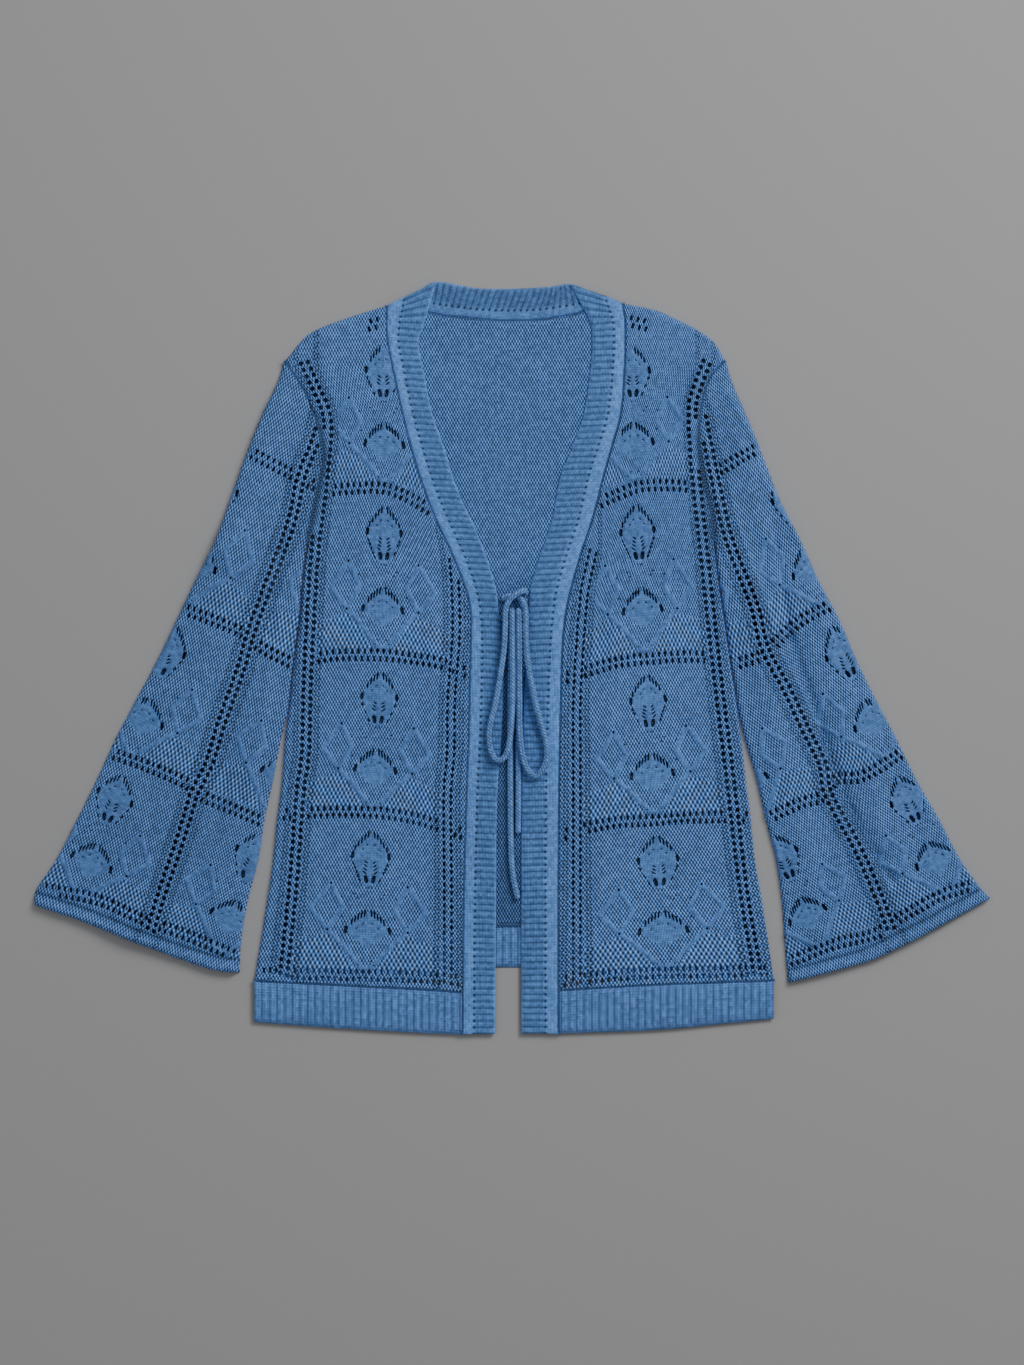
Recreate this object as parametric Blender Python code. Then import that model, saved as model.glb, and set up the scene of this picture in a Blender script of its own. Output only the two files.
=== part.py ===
# Tie-front cardigan laid flat: plain back, two lace fronts, ribbed front bands, wide lace sleeves and two cord ties.
# Left and right are the wearer's. The wearer's right is at -X. +Y runs from the hem to the neck and +Z is up.
# All sizes below are millimetres; points are turned into metres when an object is made.

import math

import bmesh
import bpy
from mathutils import Vector
from mathutils.geometry import delaunay_2d_cdt

METRE = 0.001
SEAM = 0.3

# Heights of the cloth layers above the table
BACK_TOP = 2.6
UPPER_UNDER = 2.9
CLOTH = 2.2
FOLD_EDGE = 1.3
FOLD_WIDTH = 4.0
RIB_RISE = 0.7

# Knitted detail at real size
HEM_RIB_PITCH = 6.7
BAND_RIB_PITCH = 5.6
RAISED_LINE_RISE = 0.8
RAISED_LINE_HALF = 1.7
LADDER_HOLE = (4.6, 4.0)
LADDER_STEP = 18.3
CUFF_ROLL = 9.0
CUFF_ROLL_RISE = 2.4

# Spacing of the points that make up each outline and each curved sheet
EDGE_STEP = 26.0
SHEET_STEP = 30.0

YARN_BLUE = (0.065, 0.168, 0.356, 1.0)
BAND_BLUE = (0.052, 0.150, 0.310, 1.0)
TIE_BLUE = (0.085, 0.200, 0.400, 1.0)

# Body side and armhole, from the hem rib up: y, x on the right, x on the left
BODY_SIDE = (
    (-284, -227, 230.5),
    (-248, -221, 225.5),
    (-213, -215.5, 220),
    (-178, -210.5, 214),
    (-143, -207, 210.5),
    (-108, -202.5, 206),
    (-72, -200, 202),
    (-37, -195.5, 197.5),
    (-2, -192, 192),
    (33, -187, 187),
    (82, -183, 180),
    (130, -174, 176),
    (153, -169, 170),
    (178, -165, 165.5),
    (204, -170, 164.5),
    (231, -180.5, 168.5),
    (249, -191.5, 176),
    (261, -200, 187.5),
)

# Shoulder line from the armhole to the band: x on the right, y on the right, x on the left, y on the left
SHOULDER = (
    (-200, 261, 187.5, 261),
    (-185, 279.5, 183, 270.5),
    (-174, 288, 176, 279.5),
    (-151.5, 297, 164.5, 288),
    (-124, 306, 147, 297),
    (-110.5, 310, 126.5, 306),
)
SHOULDER_END = {"right": (-110.5, 310), "left": (98, 312)}

# Front band from the hem to the shoulder: y, and x of the seam, of the rib's start and of the free edge
BAND = {
    "right": (
        (-331.5, -44, -35, -15),
        (-213, -43, -34, -14),
        (-122, -40.5, -31.5, -13),
        (-66, -38.5, -29.5, -9),
        (8, -37, -27.5, -7.5),
        (42, -37, -27.5, -11.5),
        (64, -42.5, -31, -14.5),
        (92, -53.5, -42, -23),
        (123, -68, -56, -36),
        (152, -79, -68, -49),
        (187, -90, -79, -60),
        (218, -97.5, -87.5, -70.5),
        (253, -105, -95, -77.5),
        (278, -110, -100.5, -82),
        (295, -111, -101, -77.5),
    ),
    "left": (
        (-331, 41.5, 29, 8),
        (-213, 41.5, 29.5, 8),
        (-125, 42, 30, 8),
        (-66, 43, 30.5, 9),
        (8, 45, 31, 13),
        (42, 48.5, 32, 14.5),
        (64, 53.5, 36, 16.5),
        (92, 61.5, 44, 25),
        (124, 72, 55.5, 35.5),
        (159, 81, 64, 42),
        (187, 89, 73, 53),
        (218, 97, 81, 63.5),
        (260, 100, 87, 69.5),
        (284, 100.5, 88.5, 70.5),
        (298, 100, 88, 68),
    ),
}
# Where the band folds over the shoulder: seam, rib start and free edge
BAND_TOP = {
    "right": ((-110.5, 309.5), (-100, 315), (-66, 331)),
    "left": ((98, 311.5), (86, 317), (51, 329)),
}

# Rib of each front hem: x, y of its top, y of its bottom
FRONT_HEM = {
    "right": ((-227, -284, -321), (-158, -287.5, -326), (-90, -291, -330), (-44, -294, -332)),
    "left": ((230.5, -284, -318), (180, -285.5, -323), (126, -287.5, -328), (41.5, -292.5, -331)),
}
# Rib of the back hem, which hangs shorter at the middle: x, y of its top, y of its bottom
BACK_HEM = (
    (-227, -278, -316),
    (-165, -266, -304),
    (-98, -250, -288),
    (-40, -239, -276),
    (0, -236, -273),
    (45, -239, -276),
    (112, -250, -287.5),
    (175, -266, -303),
    (230, -277, -313.5),
)
# Back neck rib: x and y of its top, x and y of its seam with the back
NECK_RIB = (
    (-82, 323.5, -83, 310),
    (-66, 331, -71, 303),
    (-31, 325.5, -40, 299),
    (0, 325, -10, 296.5),
    (30, 326.5, 20, 297),
    (51, 329, 57, 302.5),
    (68, 323.5, 70, 310),
)

# Sleeve's outer edge from the shoulder to the cuff: y, x on the right, x on the left
SLEEVE_OUTER = (
    (262, -201, 188.5),
    (244, -206, 193.5),
    (209, -222.5, 208.5),
    (174, -236, 222.5),
    (138, -249, 236.5),
    (103, -262, 254.5),
    (68, -279, 270),
    (33, -295.5, 288.5),
    (-2, -312.5, 303.5),
    (-37, -331, 320.5),
    (-72, -349.5, 339),
    (-108, -366, 356.5),
    (-143, -383.5, 376.5),
    (-178, -401.5, 395),
    (-204, -419, 413.5),
)
# Sleeve's inner edge where it leaves the body: y, x on the right, x on the left
SLEEVE_INNER = (
    (-72, -203.5, 205),
    (-108, -210.5, 215.5),
    (-143, -218, 223.5),
    (-178, -223.5, 232.5),
    (-213, -232.5, 237.5),
    (-248, -238.5, 240),
)
# Cuff's edge from the outer corner to the inner one: x, y
CUFF = {
    "right": ((-421, -218), (-382, -231), (-338, -248.5), (-291, -266), (-264, -274.5), (-240, -277.5)),
    "left": ((421.5, -211.5), (387, -231), (354, -248.5), (317, -266), (283, -276), (243, -286.5)),
}

# Lace squares: a row for each eyelet row, with x and y on the outer ladder and on the inner ladder
FRONT_SQUARES = {
    "right": (
        (-176, 288, -53, 288),
        (-172, 146, -50, 136),
        (-178.5, -3, -51, -9),
        (-187.5, -138, -58, -148),
        (-201.5, -278.5, -56.5, -283),
    ),
    "left": (
        (167, 288, 44, 288),
        (168, 148, 47.5, 136),
        (178.5, 0, 56.5, -11),
        (194.5, -138.5, 57, -151),
        (215.5, -276, 56.5, -283.5),
    ),
}
# Lace squares of the sleeves: the ladder runs down the middle, between an outer and an inner column
SLEEVE_SQUARES = {
    "right": (
        (-304, 219, -185, 160.5, -66, 102),
        (-350, 71, -230.5, 15.5, -111, -40),
        (-398.5, -65, -277, -116.5, -155, -167),
        (-444, -191.5, -320, -238, -199, -291),
    ),
    "left": (
        (283, 212, 177, 150, 71, 88),
        (325, 75, 222, 8.5, 119, -58),
        (388, -64.5, 278, -120, 170, -169),
        (444.5, -189.5, 329, -233, 218, -283),
    ),
}

# Holes cut in each lace motif: across from its axis, down from the square's top, length, width
MOTIF_HOLES = (
    (14.4, 35.0, 6.9, 3.0),
    (3.6, 56.6, 8.0, 4.0),
    (17.0, 99.5, 7.4, 3.0),
    (7.5, 86.5, 6.6, 2.2),
)
SQUARE_HEIGHT = 140.0
SQUARE_WIDTH = 127.0
# Raised diamond beside each motif and raised V under it: across, down
DIAMOND = ((32, 62), (44, 82), (32, 101), (21, 82))
RAISED_V = ((-23, 108), (-2, 134), (2, 134), (23, 108))

# Folds of the upper sleeve wall: x and y of both ends, rise of the cloth, width of the fold
SLEEVE_FOLDS = {
    "right": (
        (-205, 225, -250, 90, 3.0, 22.0),
        (-250, 90, -330, -225, 3.4, 45.0),
        (-205, 40, -262, -235, 1.6, 20.0),
        (-185, 190, -200, 100, 1.6, 12.0),
    ),
    "left": (
        (190, 225, 225, 110, 3.0, 20.0),
        (250, 60, 350, -215, 3.4, 36.0),
        (205, 60, 272, -240, 2.6, 24.0),
        (203, 95, 232, 20, 1.6, 10.0),
    ),
}

# Route of each tie, chosen by hand: x, y, z of its centre line, from the band's edge to the free end
TIE_WIDTH = 5.2
TIE_SIDES = 2
TIES = {
    "right": (
        (-9.2, 50.0, 5.7),
        (-6.0, 52.8, 5.9),
        (0.0, 54.4, 6.3),
        (6.0, 53.0, 7.6),
        (10.6, 47.6, 10.4),
        (12.0, 39.0, 11.8),
        (12.2, 18.0, 11.8),
        (14.5, -8.0, 11.6),
        (21.5, -43.0, 11.0),
        (30.0, -75.0, 10.0),
        (29.5, -93.0, 9.7),
        (20.5, -104.5, 9.8),
        (11.5, -94.0, 10.8),
        (7.2, -72.0, 11.8),
        (6.4, -38.0, 11.8),
        (6.2, 8.0, 11.8),
        (6.0, 33.0, 11.8),
        (5.9, 38.6, 11.2),
        (5.8, 41.2, 8.7),
        (5.7, 38.6, 6.2),
        (5.6, 33.0, 5.6),
        (5.4, 0.0, 5.6),
        (5.6, -60.0, 5.6),
        (5.6, -110.0, 5.6),
        (5.4, -155.5, 5.6),
    ),
    "left": (
        (11.6, 54.6, 5.7),
        (11.8, 57.8, 8.4),
        (9.6, 58.6, 12.0),
        (4.0, 55.6, 14.4),
        (-2.0, 50.6, 13.8),
        (-5.6, 42.0, 12.0),
        (-6.0, 28.0, 11.8),
        (-7.6, 3.0, 11.6),
        (-14.0, -37.0, 10.6),
        (-20.0, -64.0, 9.9),
        (-18.5, -82.0, 9.7),
        (-12.5, -90.5, 9.8),
        (-5.5, -86.0, 10.8),
        (-1.6, -70.0, 11.8),
        (0.4, -38.0, 11.8),
        (0.4, 8.0, 11.8),
        (0.2, 33.0, 11.8),
        (0.1, 38.6, 11.2),
        (0.0, 41.2, 8.7),
        (-0.1, 38.6, 6.2),
        (-0.2, 33.0, 5.6),
        (-1.0, 0.0, 5.6),
        (-1.6, -60.0, 5.6),
        (-1.4, -120.0, 5.6),
        (-1.0, -162.0, 5.6),
        (0.6, -190.0, 5.6),
        (5.2, -213.0, 5.6),
    ),
}


# Lines and distances in the plane of the table

def smooth_line(points, step):
    """Points every step along a soft curve through the given ones."""
    places = [Vector(p) for p in points]
    ends = [places[0] * 2 - places[1]] + places + [places[-1] * 2 - places[-2]]
    line = []
    for before, start, end, after in zip(ends, ends[1:], ends[2:], ends[3:]):
        count = max(1, round((end - start).length / step))
        for index in range(count):
            t = index / count
            line.append(0.5 * (2 * start + (end - before) * t
                               + (2 * before - 5 * start + 4 * end - after) * t * t
                               + (3 * start - before - 3 * end + after) * t * t * t))
    line.append(places[-1])
    return line


def spaced(line, count):
    """The same line as count points, evenly far apart."""
    lengths = [0.0]
    for a, b in zip(line, line[1:]):
        lengths.append(lengths[-1] + (b - a).length)
    result = []
    segment = 0
    for index in range(count):
        target = lengths[-1] * index / (count - 1)
        while segment < len(line) - 2 and lengths[segment + 1] < target:
            segment += 1
        span = lengths[segment + 1] - lengths[segment]
        t = (target - lengths[segment]) / span
        result.append(line[segment].lerp(line[segment + 1], t))
    return result


def moved(line, distance):
    """The line moved sideways, to its left where distance is positive."""
    result = []
    for index, point in enumerate(line):
        before = line[max(index - 1, 0)]
        after = line[min(index + 1, len(line) - 1)]
        along = (after - before).normalized()
        result.append(point + Vector((-along.y, along.x)) * distance)
    return result


def distance_to(point, line):
    """The shortest distance from a point to a line of points."""
    nearest = math.inf
    for a, b in zip(line, line[1:]):
        along = b - a
        t = max(0.0, min(1.0, (point - a).dot(along) / max(along.length_squared, 1e-9)))
        nearest = min(nearest, (a + along * t - point).length)
    return nearest


def inside(point, outline):
    """Whether a point lies inside a closed outline."""
    result = False
    previous = outline[-1]
    for corner in outline:
        if (corner.y > point.y) != (previous.y > point.y):
            crossing = corner.x + (point.y - corner.y) * (previous.x - corner.x) / (previous.y - corner.y)
            if point.x < crossing:
                result = not result
        previous = corner
    return result


def column(rows, first, second):
    return [Vector((row[first], row[second])) for row in rows]


def side_of(side):
    """The column of a right and left pair, and the direction outwards."""
    return (1, -1) if side == "right" else (2, 1)


# The lines that the pieces share

def body_side_line(side):
    pair, _ = side_of(side)
    return smooth_line([(row[pair], row[0]) for row in BODY_SIDE], EDGE_STEP)


def shoulder_line(side):
    first = 0 if side == "right" else 2
    points = [(row[first], row[first + 1]) for row in SHOULDER]
    return smooth_line(points + [SHOULDER_END[side]], EDGE_STEP)


def band_line(side, which):
    points = [(row[which], row[0]) for row in BAND[side]]
    return smooth_line(points + [BAND_TOP[side][which - 1]], EDGE_STEP)


def hem_top_line(side):
    return smooth_line([(x, top) for x, top, _ in FRONT_HEM[side]], EDGE_STEP)


def sleeve_outer_line(side):
    pair, _ = side_of(side)
    return smooth_line([(row[pair], row[0]) for row in SLEEVE_OUTER] + [CUFF[side][0]], EDGE_STEP)


# Lace

def square_place(corners, across, down):
    """A place in a lace square, from millimetres across its axis and down from its top row."""
    top_outer, top_inner, low_outer, low_inner = corners
    p = 0.5 + across / SQUARE_WIDTH
    q = down / SQUARE_HEIGHT
    top = top_outer.lerp(top_inner, p)
    low = low_outer.lerp(low_inner, p)
    return top.lerp(low, q)


def hole(centre, along, length, width):
    """A four-sided hole with its long side in the given direction."""
    along = along.normalized()
    across = Vector((-along.y, along.x))
    return [centre + along * (length / 2 * a) + across * (width / 2 * b)
            for a, b in ((-1, -0.7), (-1, 0.7), (1, 0.9), (1, -0.9))]


def motif_holes(corners):
    holes = []
    for across, down, length, width in MOTIF_HOLES:
        for sign in (-1, 1):
            centre = square_place(corners, sign * across, down)
            ahead = square_place(corners, sign * (across + 1), down + 5)
            holes.append(hole(centre, ahead - centre, length, width))
    return holes


def ladder_holes(line):
    """Every few rungs of a ladder of holes, alternately in its two columns."""
    length = sum((b - a).length for a, b in zip(line, line[1:]))
    places = spaced(line, max(2, round(length / LADDER_STEP)))
    holes = []
    for index, (a, b) in enumerate(zip(places, places[1:])):
        along = b - a
        across = Vector((-along.y, along.x)).normalized() * (3.1 if index % 2 else -3.1)
        holes.append(hole((a + b) / 2 + across, along, *LADDER_HOLE))
    return holes


def raised_lines(corners):
    """The centre lines of the raised diamonds and of the V in one square."""
    lines = []
    for sign in (-1, 1):
        corners_of_diamond = [square_place(corners, sign * x, y) for x, y in DIAMOND]
        lines.append(corners_of_diamond + corners_of_diamond[:1])
    lines.append([square_place(corners, x, y) for x, y in RAISED_V])
    return lines


def squares_of(table):
    """Corner places of each square of a table whose rows hold two or three places."""
    squares = []
    for upper, lower in zip(table, table[1:]):
        for first in range(0, len(upper) - 2, 2):
            squares.append((
                Vector(upper[first:first + 2]), Vector(upper[first + 2:first + 4]),
                Vector(lower[first:first + 2]), Vector(lower[first + 2:first + 4]),
            ))
    return squares


def fits(points, outline, margin):
    return all(inside(p, outline) and distance_to(p, outline + outline[:1]) > margin for p in points)


# Solids

def material(name, colour):
    made = bpy.data.materials.new(name)
    made.use_nodes = True
    surface = made.node_tree.nodes["Principled BSDF"]
    surface.inputs["Base Color"].default_value = colour
    surface.inputs["Roughness"].default_value = 0.9
    surface.inputs["Metallic"].default_value = 0.0
    return made


def add_object(name, data, made):
    obj = bpy.data.objects.new(name, data)
    obj.data.materials.append(made)
    bpy.data.collections["tie_front_cardigan"].objects.link(obj)
    return obj


def flat_sheet(outline, lines=(), holes=(), step=None):
    """Triangles between an outline, its holes and the lines that shape it, with loose points every step."""
    points = []
    edges = []

    def add(chain, closed):
        first = len(points)
        points.extend(chain)
        edges.extend((first + i, first + i + 1) for i in range(len(chain) - 1))
        if closed:
            edges.append((len(points) - 1, first))

    add(outline, True)
    for chain in holes:
        add(chain, True)
    for chain in lines:
        add(chain, chain[0] == chain[-1])
    if step:
        chains = [outline + outline[:1]] + [h + h[:1] for h in holes] + list(lines)
        for place in lattice(outline, step):
            if min(distance_to(place, chain) for chain in chains) > step * 0.3:
                points.append(place)
    verts, _, faces, _, _, _ = delaunay_2d_cdt(points, edges, [], 1, 1e-5)
    bm = bmesh.new()
    corners = [bm.verts.new((v.x, v.y, 0.0)) for v in verts]
    for face in faces:
        middle = (verts[face[0]] + verts[face[1]] + verts[face[2]]) / 3
        if not any(inside(middle, h) for h in holes):
            bm.faces.new([corners[i] for i in face])
    bmesh.ops.delete(bm, geom=[v for v in bm.verts if not v.link_faces], context="VERTS")
    return bm


def lattice(outline, step):
    """Points in offset rows inside an outline."""
    xs = [p.x for p in outline]
    ys = [p.y for p in outline]
    row = 0
    y = min(ys)
    while y < max(ys):
        x = min(xs) + (step / 2 if row % 2 else 0)
        while x < max(xs):
            place = Vector((x, y))
            if inside(place, outline):
                yield place
            x += step
        y += step * 0.87
        row += 1


def solid_from_sheet(name, bm, under, over, made):
    """Thickens a flat sheet between two height functions, and joins the faces of a flat underside."""
    lowest = set(bm.verts)
    lifted = bmesh.ops.extrude_face_region(bm, geom=bm.faces[:] + bm.edges[:] + bm.verts[:])
    for item in lifted["geom"]:
        if isinstance(item, bmesh.types.BMVert):
            item.co.z = over(item.co.xy)
    for vert in lowest:
        vert.co.z = under(vert.co.xy)
    below = [e for e in bm.edges
             if all(v in lowest for f in e.link_faces for v in f.verts)]
    bmesh.ops.dissolve_limit(bm, angle_limit=0.001, verts=[], edges=below)
    bmesh.ops.recalc_face_normals(bm, faces=bm.faces[:])
    bmesh.ops.triangulate(bm, faces=bm.faces[:])
    bmesh.ops.scale(bm, vec=(METRE, METRE, METRE), verts=bm.verts[:])
    mesh = bpy.data.meshes.new(name)
    bm.to_mesh(mesh)
    bm.free()
    return add_object(name, mesh, made)


def ribbed_solid(name, first, second, height, valley, made, plain=None):
    """A strip between two lines of as many points, with a rib on every second one. Plain cloth lies before it."""
    outline = (plain or first) + second[::-1]
    ribs = [[a, b] for a, b in zip(first, second)]
    if not plain:
        ribs = ribs[1:-1]
    crests = {rounded(p) for line in (first, second) for p in line[1:-1:2]}
    bm = flat_sheet(outline, ribs + ([first] if plain else []))
    return solid_from_sheet(
        name, bm, lambda p: height, lambda p: valley + (RIB_RISE if rounded(p) in crests else 0.0), made)


def rounded(point):
    return (round(point.x, 2), round(point.y, 2))


# Sub-parts

def back_outline():
    """Side, shoulder and neck edges of the back, all round."""
    right = body_side_line("right")
    left = body_side_line("left")
    hem = moved(smooth_line([(x, top) for x, top, _ in BACK_HEM], EDGE_STEP), SEAM / 2)
    neck = moved(smooth_line([(row[2], row[3]) for row in NECK_RIB], EDGE_STEP), -SEAM / 2)
    rib_ends = [Vector((NECK_RIB[0][0] - 2 * SEAM, NECK_RIB[0][1] - 1)),
                Vector((NECK_RIB[-1][0] + 4 * SEAM, NECK_RIB[-1][1] - 1))]
    neck[0].x -= 2 * SEAM
    neck[-1].x += 2 * SEAM
    outline = [p for p in right if p.y > hem[0].y + 5]
    outline += shoulder_line("right")[1:] + [rib_ends[0]] + neck + [rib_ends[1]]
    outline += shoulder_line("left")[::-1] + [p for p in left[::-1][1:] if p.y > hem[-1].y + 5]
    return outline + hem[::-1]


def build_back(cloth, band_cloth):
    bm = flat_sheet(back_outline())
    solid_from_sheet("back_panel", bm, lambda p: 0.0, lambda p: BACK_TOP, cloth)
    valley = BACK_TOP - RIB_RISE
    top = moved(smooth_line([(x, y) for x, y, _ in BACK_HEM], EDGE_STEP), -SEAM / 2)
    bottom = smooth_line([(x, y) for x, _, y in BACK_HEM], EDGE_STEP)
    count = rib_points(top, HEM_RIB_PITCH)
    ribbed_solid("back_hem", spaced(top, count), spaced(bottom, count), 0.0, valley, cloth)
    top = smooth_line([(row[0], row[1]) for row in NECK_RIB], EDGE_STEP)
    seam = smooth_line([(row[2], row[3]) for row in NECK_RIB], EDGE_STEP)
    count = rib_points(top, BAND_RIB_PITCH)
    ribbed_solid("back_neck_rib", spaced(top, count), spaced(moved(seam, SEAM / 2), count),
                 0.0, valley, band_cloth)


def rib_points(line, pitch):
    """How many points put a rib on every second one, with a valley at both ends."""
    length = sum((b - a).length for a, b in zip(line, line[1:]))
    return 2 * round(length / pitch) + 1


def front_outline(side):
    _, outwards = side_of(side)
    hem = moved(hem_top_line(side), -outwards * SEAM / 2)
    seam = moved(band_line(side, 1), -outwards * SEAM / 2)
    seam = [p for p in seam if p.y > hem[-1].y + 5]
    side_edge = [p for p in body_side_line(side) if p.y > hem[0].y + 5]
    return side_edge + shoulder_line(side)[1:-1] + seam[::-1] + hem[::-1]


def lace_solid(name, outline, squares, ladders, shape_lines, under, thickness, made):
    """A lace wall: its holes are cut through, and its diamonds stand up from the outer face."""
    holes = [h for square in squares for h in motif_holes(square)]
    holes += [h for ladder in ladders for h in ladder_holes(ladder)]
    holes = [h for h in holes if fits(h, outline, 3.0)]
    raised = [line for square in squares for line in raised_lines(square) if fits(line, outline, 4.0)]
    beside = [edge for line in raised for edge in line_edges(line)]
    bm = flat_sheet(outline, raised + beside + shape_lines, holes, SHEET_STEP)

    def over(point):
        near = min((distance_to(point, line) for line in raised), default=RAISED_LINE_HALF)
        rise = RAISED_LINE_RISE * max(0.0, 1 - near / RAISED_LINE_HALF)
        return under(point) + thickness(point) + rise

    print(name, "holes", len(holes))
    return solid_from_sheet(name, bm, under, over, made)


def line_edges(line):
    """The two lines where a raised line meets the cloth."""
    if line[0] == line[-1]:
        middle = (line[0] + line[2]) / 2
        inner = (line[1] - line[0]).cross(middle - line[0]) / (line[1] - line[0]).length
        share = RAISED_LINE_HALF / abs(inner)
        return [[middle + (p - middle) * (1 + share) for p in line[:-1]] + [middle + (line[0] - middle) * (1 + share)],
                [middle + (p - middle) * (1 - share) for p in line[:-1]] + [middle + (line[0] - middle) * (1 - share)]]
    return [moved(line, RAISED_LINE_HALF), moved(line, -RAISED_LINE_HALF)]


def build_front(side, cloth, band_cloth):
    _, outwards = side_of(side)
    rows = FRONT_SQUARES[side]
    ladders = [smooth_line(column(rows, 0, 1), EDGE_STEP), smooth_line(column(rows, 2, 3), EDGE_STEP)]
    fold = moved(body_side_line(side), outwards * FOLD_WIDTH)
    fold = [p for p in fold if -276 < p.y < 70]

    def thickness(point):
        edge = distance_to(point, body_side_line(side)) if point.y < 100 else FOLD_WIDTH
        return FOLD_EDGE + (CLOTH - FOLD_EDGE) * min(1.0, edge / FOLD_WIDTH)

    lace_solid("front_" + side, front_outline(side), squares_of(rows), ladders, [fold],
               lambda p: UPPER_UNDER, thickness, cloth)
    top = moved(hem_top_line(side), outwards * SEAM / 2)
    bottom = smooth_line([(x, y) for x, _, y in FRONT_HEM[side]], EDGE_STEP)
    top[-1].x += outwards * SEAM
    bottom[-1].x += outwards * SEAM
    count = rib_points(top, HEM_RIB_PITCH)
    ribbed_solid("front_hem_" + side, spaced(top, count), spaced(bottom, count),
                 UPPER_UNDER, UPPER_UNDER + CLOTH - RIB_RISE / 2, cloth)
    seam = moved(band_line(side, 1), outwards * SEAM / 2)
    rib = band_line(side, 2)
    edge = band_line(side, 3)
    count = rib_points(rib, BAND_RIB_PITCH)
    ribbed_solid("front_band_" + side, spaced(rib, count), spaced(edge, count),
                 UPPER_UNDER, UPPER_UNDER + CLOTH - RIB_RISE / 2, band_cloth, plain=seam)


def sleeve_outline(side):
    """Down the outer edge, along the cuff and back up the inner edge and the armhole."""
    pair, outwards = side_of(side)
    beside = [p for p in body_side_line(side) if p.y > -45]
    gap = [3 * SEAM if p.y < 100 else SEAM for p in beside]
    inner = [moved(beside, -outwards * g)[i] for i, g in enumerate(gap)]
    free = smooth_line([(row[pair], row[0]) for row in SLEEVE_INNER] + [CUFF[side][-1]], EDGE_STEP)
    cuff = smooth_line(CUFF[side], EDGE_STEP)
    return sleeve_outer_line(side)[1:] + cuff[1:] + free[::-1][1:] + inner


def build_sleeve(side, cloth):
    _, outwards = side_of(side)
    rows = SLEEVE_SQUARES[side]
    outline = sleeve_outline(side)
    closed = outline + outline[:1]
    cuff = smooth_line(CUFF[side], EDGE_STEP)
    ladder = smooth_line(column(rows, 2, 3), EDGE_STEP)
    rolls = [[p for p in moved(cuff, -outwards * CUFF_ROLL * part) if fits([p], outline, 1.5)]
             for part in (0.25, 0.5, 0.8, 1.05)]

    def under(point):
        edge = min(1.0, distance_to(point, closed) / 26.0)
        rise = 0.0
        for x, y, end_x, end_y, height, width in SLEEVE_FOLDS[side]:
            away = distance_to(point, [Vector((x, y)), Vector((end_x, end_y))])
            rise += height * math.exp(-(away / width) ** 2)
        return UPPER_UNDER + rise * edge

    def thickness(point):
        edge = distance_to(point, closed) if point.y < 70 or abs(point.x) > 215 else FOLD_WIDTH
        wall = FOLD_EDGE + (CLOTH - FOLD_EDGE) * min(1.0, edge / FOLD_WIDTH)
        roll = min(1.0, distance_to(point, cuff) / (CUFF_ROLL * 1.05))
        return wall + CUFF_ROLL_RISE * max(0.0, math.sin(math.pi * roll))

    lace_solid("sleeve_upper_" + side, outline, squares_of(rows), [ladder], rolls, under, thickness, cloth)
    bm = flat_sheet(outline)
    solid_from_sheet("sleeve_lower_" + side, bm, lambda p: 0.0, lambda p: BACK_TOP, cloth)


def build_tie(side, made):
    """A round cord from the edge of its band through the knot and its loop to the free end."""
    route = smooth_line(TIES[side], TIE_WIDTH * 2.2)
    curve = bpy.data.curves.new("tie_" + side, "CURVE")
    curve.dimensions = "3D"
    curve.bevel_depth = TIE_WIDTH / 2 * METRE
    curve.bevel_resolution = TIE_SIDES
    curve.use_fill_caps = True
    spline = curve.splines.new("POLY")
    spline.points.add(len(route) - 1)
    for point, place in zip(spline.points, route):
        point.co = (*(place * METRE), 1.0)
    return add_object("tie_" + side, curve, made)


def main():
    for obj in list(bpy.data.objects):
        bpy.data.objects.remove(obj, do_unlink=True)
    collection = bpy.data.collections.new("tie_front_cardigan")
    bpy.context.scene.collection.children.link(collection)
    cloth = material("cotton_knit", YARN_BLUE)
    band_cloth = material("rib_knit", BAND_BLUE)
    tie_cord = material("tie_cord", TIE_BLUE)
    build_back(cloth, band_cloth)
    for side in ("right", "left"):
        build_front(side, cloth, band_cloth)
        build_sleeve(side, cloth)
        build_tie(side, tie_cord)


main()
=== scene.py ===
# Knitted tie-front cardigan, laid flat: lace fronts and sleeves, ribbed bands and hems, plain back, cord bow.
# Lengths in the tables are millimetres; meshes are made in metres. Right and left are the wearer's.

import math

import bpy
import numpy as np
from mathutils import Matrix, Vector
from mathutils.geometry import delaunay_2d_cdt


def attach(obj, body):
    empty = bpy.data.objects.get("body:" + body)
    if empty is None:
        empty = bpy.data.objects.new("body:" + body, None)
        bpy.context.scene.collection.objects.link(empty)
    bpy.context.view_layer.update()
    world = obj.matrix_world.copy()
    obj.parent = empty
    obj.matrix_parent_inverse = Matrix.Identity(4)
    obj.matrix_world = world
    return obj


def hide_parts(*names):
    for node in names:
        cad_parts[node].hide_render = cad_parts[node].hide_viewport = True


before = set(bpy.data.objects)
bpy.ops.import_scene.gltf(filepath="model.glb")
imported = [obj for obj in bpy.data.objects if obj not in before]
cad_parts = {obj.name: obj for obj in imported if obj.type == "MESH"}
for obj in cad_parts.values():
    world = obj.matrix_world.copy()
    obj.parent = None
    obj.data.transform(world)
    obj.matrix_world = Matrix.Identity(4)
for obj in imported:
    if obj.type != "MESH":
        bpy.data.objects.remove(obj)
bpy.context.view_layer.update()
mm = 0.001

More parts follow.
